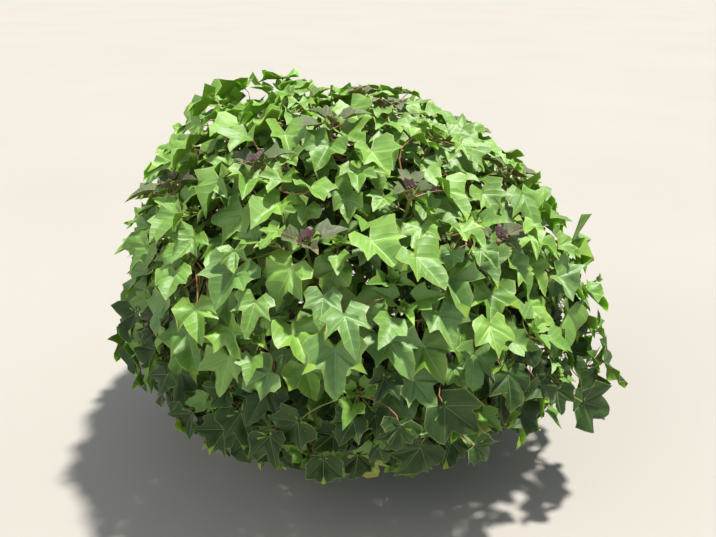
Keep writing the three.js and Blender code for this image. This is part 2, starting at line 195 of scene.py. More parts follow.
@dataclass(frozen=True)
class Crown:
    """The rounded dome that the leaves fill, narrower under its shoulder and leaning above it."""

    radius: float = 0.875
    top: float = 1.285
    shoulder: float = 0.43
    skirt: float = 0.085
    power: float = 2.25
    lean: float = -0.115
    underside_fall: float = 0.4
    skirt_foot: float = 0.39
    skirt_slope: float = 1.22
    dimples: tuple[Dimple, ...] = (
        Dimple((-0.84, -0.16, 0.74), 0.24, 0.085),
        Dimple((0.10, -0.80, 0.62), 0.16, 0.035),
        Dimple((0.62, 0.34, 0.98), 0.18, 0.035),
    )

    @property
    def centre(self) -> Point:
        """The middle of the dome, at the height of its shoulder."""
        return np.array((0.0, 0.0, self.shoulder))

    def lean_at(self, heights: Point) -> Point:
        """Return how far the crown is shifted sideways at a height, or at each of several."""
        return self.lean * np.maximum(0, heights - self.shoulder) / (self.top - self.shoulder)

    def leant(self, points: Point) -> Point:
        """Return points of an upright crown, moved to where they lie in the leaning one.

        Args:
            points: One point, or one a row.

        Returns:
            The moved points.
        """
        moved = points.copy()
        moved[..., 0] += self.lean_at(points[..., 2])
        return moved

    def drawn_in(self, points: Point) -> Point:
        """Return how far the hollows draw the skin in at points near it."""
        return sum(dimple.at(points) for dimple in self.dimples)

    def fill(self, points: Point) -> Point:
        """Return 1 for points on the skin and less inside it, even in every direction."""
        return self.even_fill(points) + self.drawn_in(points) / self.radius

    def even_fill(self, points: Point) -> Point:
        """Return what fill returns for a skin without its hollows.

        Args:
            points: One point, or one a row.

        Returns:
            1 on that skin and less inside it.
        """
        rise = points[..., 2] - self.shoulder
        half = np.where(rise > 0, self.top - self.shoulder, self.shoulder - self.skirt)
        reach = np.hypot(points[..., 0] - self.lean_at(points[..., 2]), points[..., 1]) / self.radius
        return (reach**self.power + (np.abs(rise) / half) ** self.power) ** (1 / self.power)

    def undercut(self, points: Point) -> Point:
        """Return more than 1 for points too far out under the shoulder, where the skirt draws in."""
        reach = np.hypot(points[..., 0], points[..., 1])
        return reach / (self.skirt_foot + self.skirt_slope * points[..., 2])

    def outward(self, point: Point) -> Point:
        """Return the direction that faces away from the crown at a point inside it.

        Args:
            point: The point.

        Returns:
            A unit vector.
        """
        spoke = point - self.centre
        spoke[0] -= self.lean_at(point[2])
        spoke[2] *= 1.0 if spoke[2] > 0 else self.underside_fall
        return unit(spoke)

    def spread(self, layer: Spread) -> Point:
        """Return the points of a layer, one a row, from the top of the dome down.

        Args:
            layer: How many points, and how high and deep they lie.

        Returns:
            The points.
        """
        index = np.arange(layer.count)
        sine = layer.highest - ((index + 0.5) / layer.count) * (layer.highest - layer.lowest)
        cosine = np.sqrt(1 - sine * sine)
        turn = index * GOLDEN_ANGLE
        way = np.stack((cosine * np.cos(turn), cosine * np.sin(turn), sine), axis=1)
        skin = 1 / self.even_fill(self.leant(self.centre + way))
        depth = layer.side + (layer.top - layer.side) * np.maximum(0, sine) ** 2
        points = self.leant(self.centre + way * (skin * depth)[:, None])
        return points - way * self.drawn_in(points)[:, None]


CROWN = Crown()


class Curve:
    """A Bézier curve, or a stretch of one, whose points are asked for by share of its length."""

    DIVISIONS = 200
    NUDGE = 0.004

    def __init__(self, *corners: Point, first: float = 0.0, last: float = 1.0) -> None:
        """Take the curve's corners and the shares of its length where it starts and ends."""
        self.corners = [np.asarray(corner, float) for corner in corners]
        self.first = first
        self.last = last
        self.steps = np.linspace(0, 1, self.DIVISIONS + 1)
        points = self._shape(self.steps)
        spans = np.linalg.norm(np.diff(points, axis=0), axis=1)
        self.marks = np.concatenate(([0.0], np.cumsum(spans)))
        self.length = self.marks[-1] * (last - first)

    def _shape(self, steps: Point) -> Point:
        """Return the points at the curve's own steps, by de Casteljau's rule.

        Args:
            steps: The steps, from 0 to 1.

        Returns:
            One point a row.
        """
        share = np.atleast_1d(steps)[:, None]
        points = [corner[None, :] for corner in self.corners]
        while len(points) > 1:
            points = [a + (b - a) * share for a, b in zip(points, points[1:])]
        return points[0]

    def at(self, share: float | Point) -> Point:
        """Return the point, or one row for each, at a share of the curve's length.

        Args:
            share: A share of the length, or several.

        Returns:
            The point, or one a row.
        """
        whole = (self.first + (self.last - self.first) * np.asarray(share)) * self.marks[-1]
        points = self._shape(np.interp(whole, self.marks, self.steps))
        return points if np.ndim(share) else points[0]

    def tangent(self, share: float) -> Point:
        """Return the curve's direction at a share of its length.

        Args:
            share: A share of the length.

        Returns:
            A unit vector.
        """
        low = max(0.0, share - self.NUDGE)
        high = min(1.0, share + self.NUDGE)
        return unit(self.at(high) - self.at(low))

    def part(self, first: float, last: float) -> Curve:
        """Return the stretch between two shares of a whole curve."""
        return Curve(*self.corners, first=first, last=last)

    def chord(self, share: float, steps: int) -> Point:
        """Return the point at a share of a tube that runs straight from ring to ring.

        Args:
            share: A share of the tube.
            steps: How many straight stretches it has.

        Returns:
            The point.
        """
        ring = min(int(share * steps), steps - 1)
        low, high = self.at(np.array((ring, ring + 1)) / steps)
        return low + (high - low) * (share * steps - ring)


def bowed(start: Point, tip: Point, bow: float) -> Curve:
    """Return a limb's curve from its parent's middle to its tip, bowed outwards by a share.

    Args:
        start: Its place on the parent's middle.
        tip: Its tip.
        bow: How far it bows, as a share of its span.

    Returns:
        The curve.
    """
    way = tip - start
    middle = start + way / 2 + way * np.array((bow / 4, bow / 4, -bow / 2))
    return Curve(start, middle, tip)


@dataclass
class Bough:
    """A bough of the main stem: its bearing in degrees, where it leaves the stem, and its tip."""

    name: str
    bearing: float
    foot: float
    reach: float
    rise: float

    @property
    def tip(self) -> Point:
        """The place of the bough's tip."""
        return polar(self.bearing, self.reach, self.rise)


@dataclass
class Mass:
    """A mass of foliage: its bough, where its branch leaves it, and its own heart."""

    name: str
    bough: str
    leaves_at: float
    bearing: float
    reach: float
    rise: float
    path: Curve | None = None
    tips: list[Point] = field(default_factory=list)

    @property
    def heart(self) -> Point:
        """The end of the stem that feeds the mass."""
        return CROWN.leant(polar(self.bearing, self.reach, self.rise))


@dataclass(frozen=True)
class Tube:
    """The sizes of a limb: radii at its foot and tip, and how finely it is divided."""

    foot_radius: float
    tip_radius: float
    sides: int
    steps: int
    bow: float = 0.0

    def radius(self, share: float) -> float:
        """Return the radius at a share of the limb's length."""
        return self.foot_radius + (self.tip_radius - self.foot_radius) * share


class Stock:
    """Vertices, faces and their finishes, gathered until they are joined into one piece."""

    def __init__(self) -> None:
        """Start with nothing."""
        self.points: list[Point] = []
        self.faces: list[list[int]] = []
        self.finishes: list[int] = []
        self.places: list[Point] = []
        self.count = 0

    def add(self, points: Point, faces: list[list[int]], finishes: list[int], places: Point) -> None:
        """Add one closed body.

        Args:
            points: Its vertices, one a row.
            faces: Its faces, as rows of vertex numbers that start at 0.
            finishes: The finish of each face, as a number in the piece's list of materials.
            places: Where each vertex lies on the body's own surface, as two numbers a row.
        """
        self.points.append(points)
        self.faces += [[corner + self.count for corner in face] for face in faces]
        self.finishes += finishes
        self.places.append(places)
        self.count += len(points)

    def piece(self, name: str, materials: list[bpy.types.Material], smooth: float) -> bpy.types.Object:
        """Join what was gathered into one mesh object at the origin.

        Args:
            name: The piece's name.
            materials: The materials that the finishes count through.
            smooth: The largest angle in degrees between faces that are shaded as one surface.

        Returns:
            The new piece, which rides on the plant's body.
        """
        mesh = bpy.data.meshes.new(name)
        mesh.from_pydata(np.concatenate(self.points).tolist(), [], self.faces)
        for material in materials:
            mesh.materials.append(material)
        mesh.polygons.foreach_set("material_index", self.finishes)
        corners = np.empty(len(mesh.loops), np.int32)
        mesh.loops.foreach_get("vertex_index", corners)
        layer = mesh.uv_layers.new(name="surface")
        layer.uv.foreach_set("vector", np.concatenate(self.places)[corners].astype(np.float32).ravel())
        mesh.update()
        piece = bpy.data.objects.new(name, mesh)
        bpy.context.scene.collection.objects.link(piece)
        bpy.ops.object.select_all(action="DESELECT")
        piece.select_set(True)
        bpy.context.view_layer.objects.active = piece
        bpy.ops.object.shade_smooth_by_angle(angle=math.radians(smooth))
        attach(piece, BODY)
        triangles = sum(len(face) - 2 for face in self.faces)
        log.info("%s: %d triangles", name, triangles)
        return piece


def rings_along(curve: Curve, shares: Point) -> Iterator[tuple[float, Point, Point, Point, Point]]:
    """Yield the share, middle, direction and two spokes of each ring along a curve.

    Args:
        curve: The curve to follow.
        shares: Where the rings lie, as shares of its length.

    Yields:
        The share, the ring's middle, the curve's direction and two unit spokes square to it.
    """
    spoke = None
    for share in shares:
        tangent = curve.tangent(float(share))
        if spoke is None:
            spoke = UP if abs(tangent[2]) < 0.9 else np.array((1.0, 0.0, 0.0))
        spoke = unit(spoke - tangent * (spoke @ tangent))
        yield float(share), curve.at(float(share)), tangent, spoke, across(tangent, spoke)


def tube_body(
    curve: Curve, radius_at: Callable[[float], float], sides: int, shares: Point
) -> tuple[Point, list[list[int]], Point]:
    """Make a closed tube along a curve.

    Args:
        curve: The curve to follow.
        radius_at: Gives the radius at a share of the curve's length.
        sides: How many sides the tube has.
        shares: Where its rings lie.

    Returns:
        Its vertices, its faces, and where each vertex lies round and along it.
    """
    angles = np.arange(sides) * (2 * math.pi / sides)
    points = []
    places = []
    for share, middle, _, spoke, other in rings_along(curve, shares):
        ring = np.outer(np.cos(angles), spoke) + np.outer(np.sin(angles), other)
        points.append(middle + ring * radius_at(share))
        places.append(np.stack((angles / (2 * math.pi), np.full(sides, share * curve.length)), axis=1))
    faces = []
    for ring in range(len(points) - 1):
        for side in range(sides):
            low = ring * sides
            following = (side + 1) % sides
            faces.append([low + side, low + following, low + sides + following, low + sides + side])
    last = (len(points) - 1) * sides
    faces.append([sides - 1 - side for side in range(sides)])
    faces.append([last + side for side in range(sides)])
    return np.concatenate(points), faces, np.concatenate(places)


# The main stem and how it flares to the ground, in metres.
STEM = Tube(0.034, 0.027, sides=30, steps=18)
STEM_HEIGHT = 0.23
STEM_LEAN = (0.010, 0.014)
FLARE_RADIUS = 0.052
FLARE_RIBS = 5
FLARE_DEPTH = 0.1
FLARE_POWER = 5

BOUGH = Tube(0.019, 0.014, sides=16, steps=20, bow=0.35)
BRANCH = Tube(0.0115, 0.0085, sides=12, steps=20, bow=0.2)
MASS_STEM = Tube(0.0080, 0.0066, sides=10, steps=3)
SHOOT = Tube(0.0060, 0.0046, sides=8, steps=3)
SIDE_SHOOT = Tube(0.0042, 0.0034, sides=7, steps=3)

LEADER_FROM = 0.98
LEADER_LEAD = 0.4
MASS_STEM_LENGTH = 0.19
MASS_STEM_SUNK = 0.004

BOUGHS = [
    Bough("bough_front", 268, 0.122, 0.190, 0.365),
    Bough("bough_right", 340, 0.185, 0.205, 0.395),
    Bough("bough_back_right", 52, 0.148, 0.185, 0.380),
    Bough("bough_back_left", 124, 0.202, 0.200, 0.400),
    Bough("bough_left", 196, 0.166, 0.200, 0.375),
]

MASSES = [
    Mass("front_left_skirt", "bough_front", 0.62, 241, 0.560, 0.400),
    Mass("front_right_skirt", "bough_front", 0.80, 297, 0.560, 0.400),
    Mass("front_shoulder", "bough_front", LEADER_FROM, 268, 0.440, 0.770),
    Mass("right_skirt", "bough_right", 0.66, 350, 0.570, 0.390),
    Mass("right_shoulder", "bough_right", LEADER_FROM, 336, 0.440, 0.770),
    Mass("right_crest", "bough_right", 0.82, 335, 0.165, 1.010),
    Mass("back_right_skirt", "bough_back_right", 0.62, 40, 0.560, 0.400),
    Mass("back_skirt", "bough_back_right", 0.80, 90, 0.565, 0.390),
    Mass("back_right_shoulder", "bough_back_right", LEADER_FROM, 50, 0.440, 0.770),
    Mass("back_left_skirt", "bough_back_left", 0.64, 141, 0.565, 0.400),
    Mass("back_left_shoulder", "bough_back_left", LEADER_FROM, 124, 0.440, 0.770),
    Mass("back_crest", "bough_back_left", 0.82, 88, 0.165, 1.010),
    Mass("left_skirt", "bough_left", 0.64, 191, 0.570, 0.390),
    Mass("left_shoulder", "bough_left", LEADER_FROM, 197, 0.440, 0.770),
    Mass("left_crest", "bough_left", 0.82, 212, 0.165, 1.010),
]

# The solids' own shoot tips, at the same places on the dome but carried nearer to its skin.
TIPS = Spread(count=64, lowest=-0.42, side=0.88, top=0.965)

# Tips of shoots that stray out of the dome, low on the right and high on the left.
STRAY_TIPS = [
    polar(-27, 0.86, 0.43),
    polar(-19, 0.86, 0.50),
    polar(-33, 0.84, 0.36),
    polar(-25, 0.82, 0.26),
    polar(-9, 0.85, 0.62),
    polar(186, 0.80, 0.41),
    polar(152, 0.42, 1.16),
    polar(168, 0.40, 1.18),
]


class Socket(Enum):
    """The shader sockets that the finishes set."""

    BASE = "Base Color"
    ROUGHNESS = "Roughness"
    SPECULAR = "Specular IOR Level"
    SUBSURFACE = "Subsurface Weight"
    RADIUS = "Subsurface Radius"
    SCALE = "Subsurface Scale"
    NORMAL = "Normal"


class Recipe:
    """A material's node tree while it is written."""

    def __init__(self, name: str) -> None:
        """Start a material with one Principled shader.

        Args:
            name: The material's name.
        """
        self.material = bpy.data.materials.new(name)
        self.material.use_nodes = True
        self.nodes = self.material.node_tree.nodes
        self.links = self.material.node_tree.links
        self.shader = self.nodes["Principled BSDF"]

    def node(
        self, kind: str, inputs: dict[int | str, object] | None = None, **settings: object
    ) -> bpy.types.Node:
        """Add a node.

        Args:
            kind: The node's type name, without its "ShaderNode" part.
            inputs: Values or other nodes' outputs, by the name or number of the socket.
            **settings: The node's own settings.

        Returns:
            The new node.
        """
        made = self.nodes.new("ShaderNode" + kind)
        for name, value in settings.items():
            setattr(made, name, value)
        for key, value in (inputs or {}).items():
            self.put(made.inputs[key], value)
        return made

    def put(self, socket: bpy.types.NodeSocket, value: object) -> None:
        """Set a socket, or link another node's output to it.

        Args:
            socket: A node's input.
            value: A plain value, or another node's output.
        """
        if isinstance(value, bpy.types.NodeSocket):
            self.links.new(value, socket)
        else:
            socket.default_value = value

    def shade(self, socket: Socket, value: object) -> None:
        """Set or link one socket of the shader."""
        self.put(self.shader.inputs[socket.value], value)

    def gloss(self, roughness: float, specular: float) -> None:
        """Set how rough and how shiny the surface is."""
        self.shade(Socket.ROUGHNESS, roughness)
        self.shade(Socket.SPECULAR, specular)

    def glow(self, share: float) -> None:
        """Let light through, most of it green, as a thin leaf does.

        Args:
            share: How much of the light gets in, from 0 to 1.
        """
        self.shade(Socket.SUBSURFACE, share)
        self.shade(Socket.RADIUS, GLOW_RADII)
        self.shade(Socket.SCALE, GLOW_DEPTH)

    def object_noise(
        self, scale: float, detail: float = 3.0, stretch: tuple[float, float, float] = (1, 1, 1)
    ) -> bpy.types.NodeSocket:
        """Return an even noise of 0 to 1 in the piece's own space, in waves to the metre.

        Args:
            scale: How many waves to the metre.
            detail: How many finer waves are added.
            stretch: The share of the scale that each axis takes.

        Returns:
            The noise's output.
        """
        coords = self.node("TexCoord").outputs["Object"]
        mapped = self.node("Mapping", {"Vector": coords, "Scale": stretch})
        noise = self.node("TexNoise", {"Vector": mapped.outputs[0], "Scale": scale, "Detail": detail})
        return noise.outputs["Fac"]

    def ramp(
        self, factor: bpy.types.NodeSocket, stops: list[tuple[float, Colour]]
    ) -> bpy.types.NodeSocket:
        """Return the colour that a ramp gives for a factor.

        Args:
            factor: A node's output of 0 to 1.
            stops: Places on the ramp, with their colours.

        Returns:
            The ramp's output.
        """
        ramp = self.node("ValToRGB", {"Fac": factor})
        elements = ramp.color_ramp.elements
        while len(elements) < len(stops):
            elements.new(0.5)
        for element, (place, colour) in zip(elements, stops):
            element.position = place
            element.color = colour
        return ramp.outputs["Color"]

    def bump(
        self, height: bpy.types.NodeSocket, depth: float, strength: float = 1.0
    ) -> bpy.types.NodeSocket:
        """Return the normal that a height of 0 to 1 gives, for a depth in metres."""
        bump = self.node("Bump", {"Height": height, "Distance": depth, "Strength": strength})
        return bump.outputs["Normal"]


@dataclass(frozen=True)
class BladeFinish:
    """The upper face of a leaf: two near greens, soft gloss and fine side veins."""

    name: str
    light: Colour
    dark: Colour
    roughness: float = 0.56
    specular: float = 0.7
    blotches: float = 9.0
    dark_up_to: float = 0.32
    light_from: float = 0.72
    vein_rows: float = 9.0
    vein_slant: float = 0.8
    vein_fineness: float = 3.0
    vein_paleness: float = 0.16
    quilting: float = 70.0
    relief: float = 0.0012
    relief_strength: float = 0.5
    glow: float = 0.5

    def material(self) -> bpy.types.Material:
        """Write the finish as a material.

        Returns:
            The material.
        """
        recipe = Recipe(self.name)
        surface = recipe.node("UVMap", uv_map="surface").outputs["UV"]
        place = recipe.node("SeparateXYZ", {"Vector": surface})
        aside = recipe.node("Math", {0: place.outputs["X"]}, operation="ABSOLUTE")
        slanted = recipe.node(
            "Math",
            {0: aside.outputs[0], 1: -self.vein_slant, 2: place.outputs["Y"]},
            operation="MULTIPLY_ADD",
        )
        rows = recipe.node("Math", {0: slanted.outputs[0], 1: self.vein_rows}, operation="MULTIPLY")
        saw = recipe.node("Math", {0: rows.outputs[0], 1: 1.0}, operation="PINGPONG")
        veins = recipe.node("Math", {0: saw.outputs[0], 1: self.vein_fineness}, operation="POWER")
        noise = recipe.object_noise(self.blotches, 4.0)
        paleness = recipe.node(
            "Math",
            {0: veins.outputs[0], 1: self.vein_paleness, 2: noise},
            operation="MULTIPLY_ADD",
        )
        greens = [(self.dark_up_to, self.dark), (self.light_from, self.light)]
        recipe.shade(Socket.BASE, recipe.ramp(paleness.outputs[0], greens))
        quilting = recipe.object_noise(self.quilting, 2.0)
        height = recipe.node("Math", {0: veins.outputs[0], 1: quilting}, operation="ADD")
        recipe.shade(Socket.NORMAL, recipe.bump(height.outputs[0], self.relief, self.relief_strength))
        recipe.gloss(self.roughness, self.specular)
        recipe.glow(self.glow)
        return recipe.material


@dataclass(frozen=True)
class PlainFinish:
    """A finish of two near colours in soft patches, with a fine grain."""

    name: str
    light: Colour
    dark: Colour
    roughness: float = 0.5
    specular: float = 0.4
    patches: float = 20.0
    dark_up_to: float = 0.34
    light_from: float = 0.66
    grain: float = 700.0
    grain_depth: float = 0.0001
    glow: float = 0.0

    def material(self) -> bpy.types.Material:
        """Write the finish as a material.

        Returns:
            The material.
        """
        recipe = Recipe(self.name)
        noise = recipe.object_noise(self.patches)
        colours = [(self.dark_up_to, self.dark), (self.light_from, self.light)]
        recipe.shade(Socket.BASE, recipe.ramp(noise, colours))
        recipe.shade(Socket.NORMAL, recipe.bump(recipe.object_noise(self.grain), self.grain_depth))
        recipe.gloss(self.roughness, self.specular)
        if self.glow:
            recipe.glow(self.glow)
        return recipe.material


@dataclass(frozen=True)
class BarkFinish:
    """Smooth bark that peels in thin flakes, with pale breathing pores and fine cracks."""

    name: str
    old: Colour
    fresh: Colour
    pore: Colour
    flakes: float = 26.0
    flake_stretch: float = 0.45
    old_up_to: float = 0.38
    fresh_from: float = 0.6
    cracks: float = 60.0
    crack_stretch: float = 0.25
    crack_depth: float = 0.0008
    pores: float = 150.0
    pore_edge: tuple[float, float] = (0.16, 0.24)
    roughness: float = 0.72
    specular: float = 0.3

    def material(self) -> bpy.types.Material:
        """Write the finish as a material.

        Returns:
            The material.
        """
        recipe = Recipe(self.name)
        flakes = recipe.object_noise(self.flakes, 5.0, (1, 1, self.flake_stretch))
        skin = recipe.ramp(flakes, [(self.old_up_to, self.old), (self.fresh_from, self.fresh)])
        coords = recipe.node("TexCoord").outputs["Object"]
        cells = recipe.node("TexVoronoi", {"Vector": coords, "Scale": self.pores})
        edge = list(zip(self.pore_edge, ((1, 1, 1, 1), (0, 0, 0, 1))))
        pores = recipe.ramp(cells.outputs["Distance"], edge)
        skin = recipe.node("Mix", {"Factor": pores, 6: skin, 7: self.pore}, data_type="RGBA")
        recipe.shade(Socket.BASE, skin.outputs[2])
        cracks = recipe.object_noise(self.cracks, 6.0, (1, 1, self.crack_stretch))
        height = recipe.node("Math", {0: cracks, 1: pores}, operation="ADD")
        recipe.shade(Socket.NORMAL, recipe.bump(height.outputs[0], self.crack_depth))
        recipe.gloss(self.roughness, self.specular)
        return recipe.material


@dataclass
class Limb:
    """The main stem, a bough or a branch, with its bark's relief, in place of one solid."""

    name: str
    node: str
    curve: Curve
    size: Tube
    radius_at: Callable[[float, float], float]
    scars: int
    scar_width: float
    relief: float

    SCAR_RAISED = (0.22, 0.18)
    SCAR_SUNK = (0.16, -0.1)
    FIRST_SCAR = 0.7
    LAST_SCAR = 0.4
    ASKEW = (0.31, 0.87, 0.2)
    RELIEFS = (("CLOUDS", 0.035, 1.0), ("MUSGRAVE", 0.012, 0.45))
    SMOOTH = 50.0

    def extruded(self) -> bpy.types.Object:
        """Draw the limb out from a filled circle, ring by ring, along its curve.

        Returns:
            The limb.
        """
        shares = np.linspace(0, 1, self.size.steps + 1)
        middles = [Vector(point) for point in self.curve.at(shares)]
        ways = [Vector(self.curve.tangent(float(share))) for share in shares]
        bpy.ops.object.select_all(action="DESELECT")
        bpy.context.tool_settings.mesh_select_mode = (False, False, True)
        bpy.ops.mesh.primitive_circle_add(
            vertices=self.size.sides,
            radius=self.size.foot_radius,
            fill_type="NGON",
            location=middles[0],
            rotation=ways[0].to_track_quat("Z", "Y").to_euler(),
        )
        limb = bpy.context.object
        limb.name = limb.data.name = self.name
        bpy.ops.object.transform_apply(location=True, rotation=True, scale=True)
        bpy.ops.object.mode_set(mode="EDIT")
        bpy.ops.mesh.select_all(action="SELECT")
        for ring in range(1, len(shares)):
            step = middles[ring] - middles[ring - 1]
            bpy.ops.mesh.extrude_region_move(TRANSFORM_OT_translate={"value": step})
            turn = ways[ring - 1].rotation_difference(ways[ring]).to_euler()
            for axis, angle in zip("XYZ", turn):
                bpy.ops.transform.rotate(value=-angle, orient_axis=axis, center_override=middles[ring])
        bpy.ops.mesh.select_all(action="SELECT")
        bpy.ops.mesh.normals_make_consistent(inside=False)
        bpy.ops.object.mode_set(mode="OBJECT")
        self.round_off(limb, middles, ways)
        return limb

    def round_off(self, limb: bpy.types.Object, middles: list[Vector], ways: list[Vector]) -> None:
        """Give each ring its own radius, so that the limb tapers and its foot flares.

        Args:
            limb: The limb.
            middles: The middle of each ring.
            ways: The curve's direction at each ring.
        """
        for vertex in limb.data.vertices:
            ring = min(range(len(middles)), key=lambda index: (vertex.co - middles[index]).length)
            spoke = vertex.co - middles[ring]
            spoke -= ways[ring] * spoke.dot(ways[ring])
            angle = math.atan2(spoke.x, -spoke.y)
            radius = self.radius_at(ring / (len(middles) - 1), angle)
            vertex.co = middles[ring] + spoke.normalized() * radius

    def scarred(self, limb: bpy.types.Object) -> None:
        """Raise the scars that old leaves left, in a spiral up the limb.

        Args:
            limb: The limb.
        """
        limb.data.polygons.foreach_set("select", [False] * len(limb.data.polygons))
        centres = [(face.center.copy(), face) for face in limb.data.polygons if len(face.vertices) == 4]
        for index in range(self.scars):
            share = (index + self.FIRST_SCAR) / (self.scars + self.LAST_SCAR)
            middle = self.curve.at(share)
            tangent = self.curve.tangent(share)
            spoke = unit(across(tangent, np.array(self.ASKEW)))
            spoke = turned(spoke, tangent, index * GOLDEN_ANGLE)
            target = Vector(middle + spoke * self.size.radius(share))
            min(centres, key=lambda pair: (pair[0] - target).length)[1].select = True
        bpy.ops.object.mode_set(mode="EDIT")
        for inwards, outwards in (self.SCAR_RAISED, self.SCAR_SUNK):
            bpy.ops.mesh.inset(
                thickness=self.scar_width * inwards,
                depth=self.scar_width * outwards,
                use_individual=True,
            )
        bpy.ops.object.mode_set(mode="OBJECT")

    def roughened(self, limb: bpy.types.Object) -> None:
        """Smooth the limb, press the bark's relief into it, and apply both.

        Args:
            limb: The limb.
        """
        smooth = limb.modifiers.new("smooth", "SUBSURF")
        smooth.levels = smooth.render_levels = 1
        bpy.ops.object.modifier_apply(modifier=smooth.name)
        for kind, size, strength in self.RELIEFS:
            texture = bpy.data.textures.new(f"{self.name}_{kind.lower()}", kind)
            texture.noise_scale = size
            relief = limb.modifiers.new(kind.lower(), "DISPLACE")
            relief.texture = texture
            relief.texture_coords = "LOCAL"
            relief.mid_level = 0.5
            relief.strength = self.relief * strength
            bpy.ops.object.modifier_apply(modifier=relief.name)

    def build(self, material: bpy.types.Material, slot: str) -> bpy.types.Object:
        """Model the limb, dress it and let it stand for its solid.

        Args:
            material: The bark.
            slot: Not used.

        Returns:
            The finished piece.
        """
        limb = self.extruded()
        self.scarred(limb)
        self.roughened(limb)
        limb.data.materials.append(material)
        for vertex in limb.data.vertices:
            vertex.co.z = max(vertex.co.z, 0.0)
        bpy.ops.object.shade_smooth_by_angle(angle=math.radians(self.SMOOTH))
        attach(limb, BODY)
        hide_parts(self.node)
        log.info("%s: %d faces", self.name, len(limb.data.polygons))
        return limb


class Skeleton:
    """The main stem, boughs, branches, mass stems and shoots, as curves."""

    SHOOTS_FROM = 0.35
    SHOOTS_UP_TO = 0.97
    SHOOT_RISE = 0.75
    SHOOT_SWAY = 0.5
    SHOOT_LEAD = 0.42
    STRAYS_AT = 0.9
    STRAY_RISE = 0.35
    STRAY_LEAD = 0.4

    def __init__(self, crown: Crown) -> None:
        """Work out every curve by the source's rule.

        Args:
            crown: The dome that the shoots fill.
        """
        self.crown = crown
        lean = np.array((*STEM_LEAN, 0.0))
        self.stem = Curve(
            (0, 0, 0),
            (0, 0, STEM_HEIGHT / 3),
            lean + UP * STEM_HEIGHT * 2 / 3,
            lean + UP * STEM_HEIGHT,
        )
        self.boughs = {
            bough.name: bowed(self.stem.at(bough.foot / STEM_HEIGHT), bough.tip, BOUGH.bow)
            for bough in BOUGHS
        }
        for mass in MASSES:
            mass.path = self.branch_path(mass)
        for tip in crown.spread(TIPS):
            min(MASSES, key=lambda mass: np.linalg.norm(tip - mass.heart)).tips.append(tip)

    def branch_path(self, mass: Mass) -> Curve:
        """Return the curve from a mass's bough to its heart.

        Args:
            mass: The mass.

        Returns:
            The curve.
        """
        bough = self.boughs[mass.bough]
        start = bough.at(mass.leaves_at)
        if mass.leaves_at != LEADER_FROM:
            return bowed(start, mass.heart, BRANCH.bow)
        lead = start + bough.tangent(1.0) * np.linalg.norm(mass.heart - start) * LEADER_LEAD
        return Curve(start, lead, mass.heart)

    def entry(self, mass: Mass) -> float:
        """Return the share of a mass's path where its branch ends and its stem starts."""
        return 1 - MASS_STEM_LENGTH / mass.path.length

    def branch(self, mass: Mass) -> Curve:
        """Return the bare stretch of a mass's path."""
        return mass.path.part(0.0, self.entry(mass))

    def mass_stem(self, mass: Mass) -> Curve:
        """Return the stretch of a mass's path that carries its shoots."""
        return mass.path.part(self.entry(mass) - MASS_STEM_SUNK / mass.path.length, 1.0)

    def shoots(self) -> list[Curve]:
        """Return every shoot of the solids, by the source's own rule and random numbers.

        Returns:
            One curve for each tip on the dome.
        """
        made = []
        for seed, mass in enumerate(MASSES):
            draws = Draws(seed)
            stem = self.mass_stem(mass)
            for index, tip in enumerate(mass.tips):
                share = self.SHOOTS_FROM + (1 - self.SHOOTS_FROM) * ((index + 0.5) / len(mass.tips))
                start = stem.chord(min(share, self.SHOOTS_UP_TO), MASS_STEM.steps)
                end = self.crown.outward(tip)
                end[2] += self.SHOOT_RISE
                end[0] += (draws.next() - 0.5) * self.SHOOT_SWAY
                end[1] += (draws.next() - 0.5) * self.SHOOT_SWAY
                end = unit(end)
                made.append(Curve(start, tip - end * self.SHOOT_LEAD * np.linalg.norm(tip - start), tip))
        return made

    def strays(self) -> list[Curve]:
        """Return the shoots that stray out of the dome, each from the mass whose heart is nearest.

        Returns:
            One curve for each straying tip.
        """
        made = []
        for tip in STRAY_TIPS:
            mass = min(MASSES, key=lambda row: np.linalg.norm(tip - row.heart))
            start = self.mass_stem(mass).chord(self.STRAYS_AT, MASS_STEM.steps)
            end = unit(self.crown.outward(tip) + UP * self.STRAY_RISE)
            made.append(Curve(start, tip - end * self.STRAY_LEAD * np.linalg.norm(tip - start), tip))
        return made


@dataclass(frozen=True)
class Outline:
    """Half of a blade's outline, from its tip round one side to the notch at its stalk.

    A row holds an angle from the midrib in degrees, a reach as a share of the midrib, and a number
    that is 0 on a main vein and 1 midway between two. Main veins lie on even rows.
    """

    rows: tuple[tuple[float, float, float], ...]
    vein_rows: tuple[int, ...]
    sinus_rows: tuple[int, ...]
    ring: float
    rim_width: float

    def full(self) -> tuple[Point, Point, Point, list[int], Point]:
        """Return the whole outline, clockwise seen from above, starting at the tip.

        Returns:
            Its angles in radians, its reaches, how far each column is from a vein, the columns
            that lie on a vein, and which columns are drawn in where lobes are deeper.
        """
        right = list(range(len(self.rows)))
        left = right[-2:0:-1]
        angles = [math.radians(self.rows[row][0]) for row in right]
        angles += [2 * math.pi - math.radians(self.rows[row][0]) for row in left]
        order = right + left
        reaches = np.array([self.rows[row][1] for row in order])
        between = np.array([self.rows[row][2] for row in order])
        veins = [column for column, row in enumerate(order) if row in self.vein_rows]
        sinus = np.array([float(row in self.sinus_rows) for row in order])
        return np.array(angles), reaches, between, veins, sinus


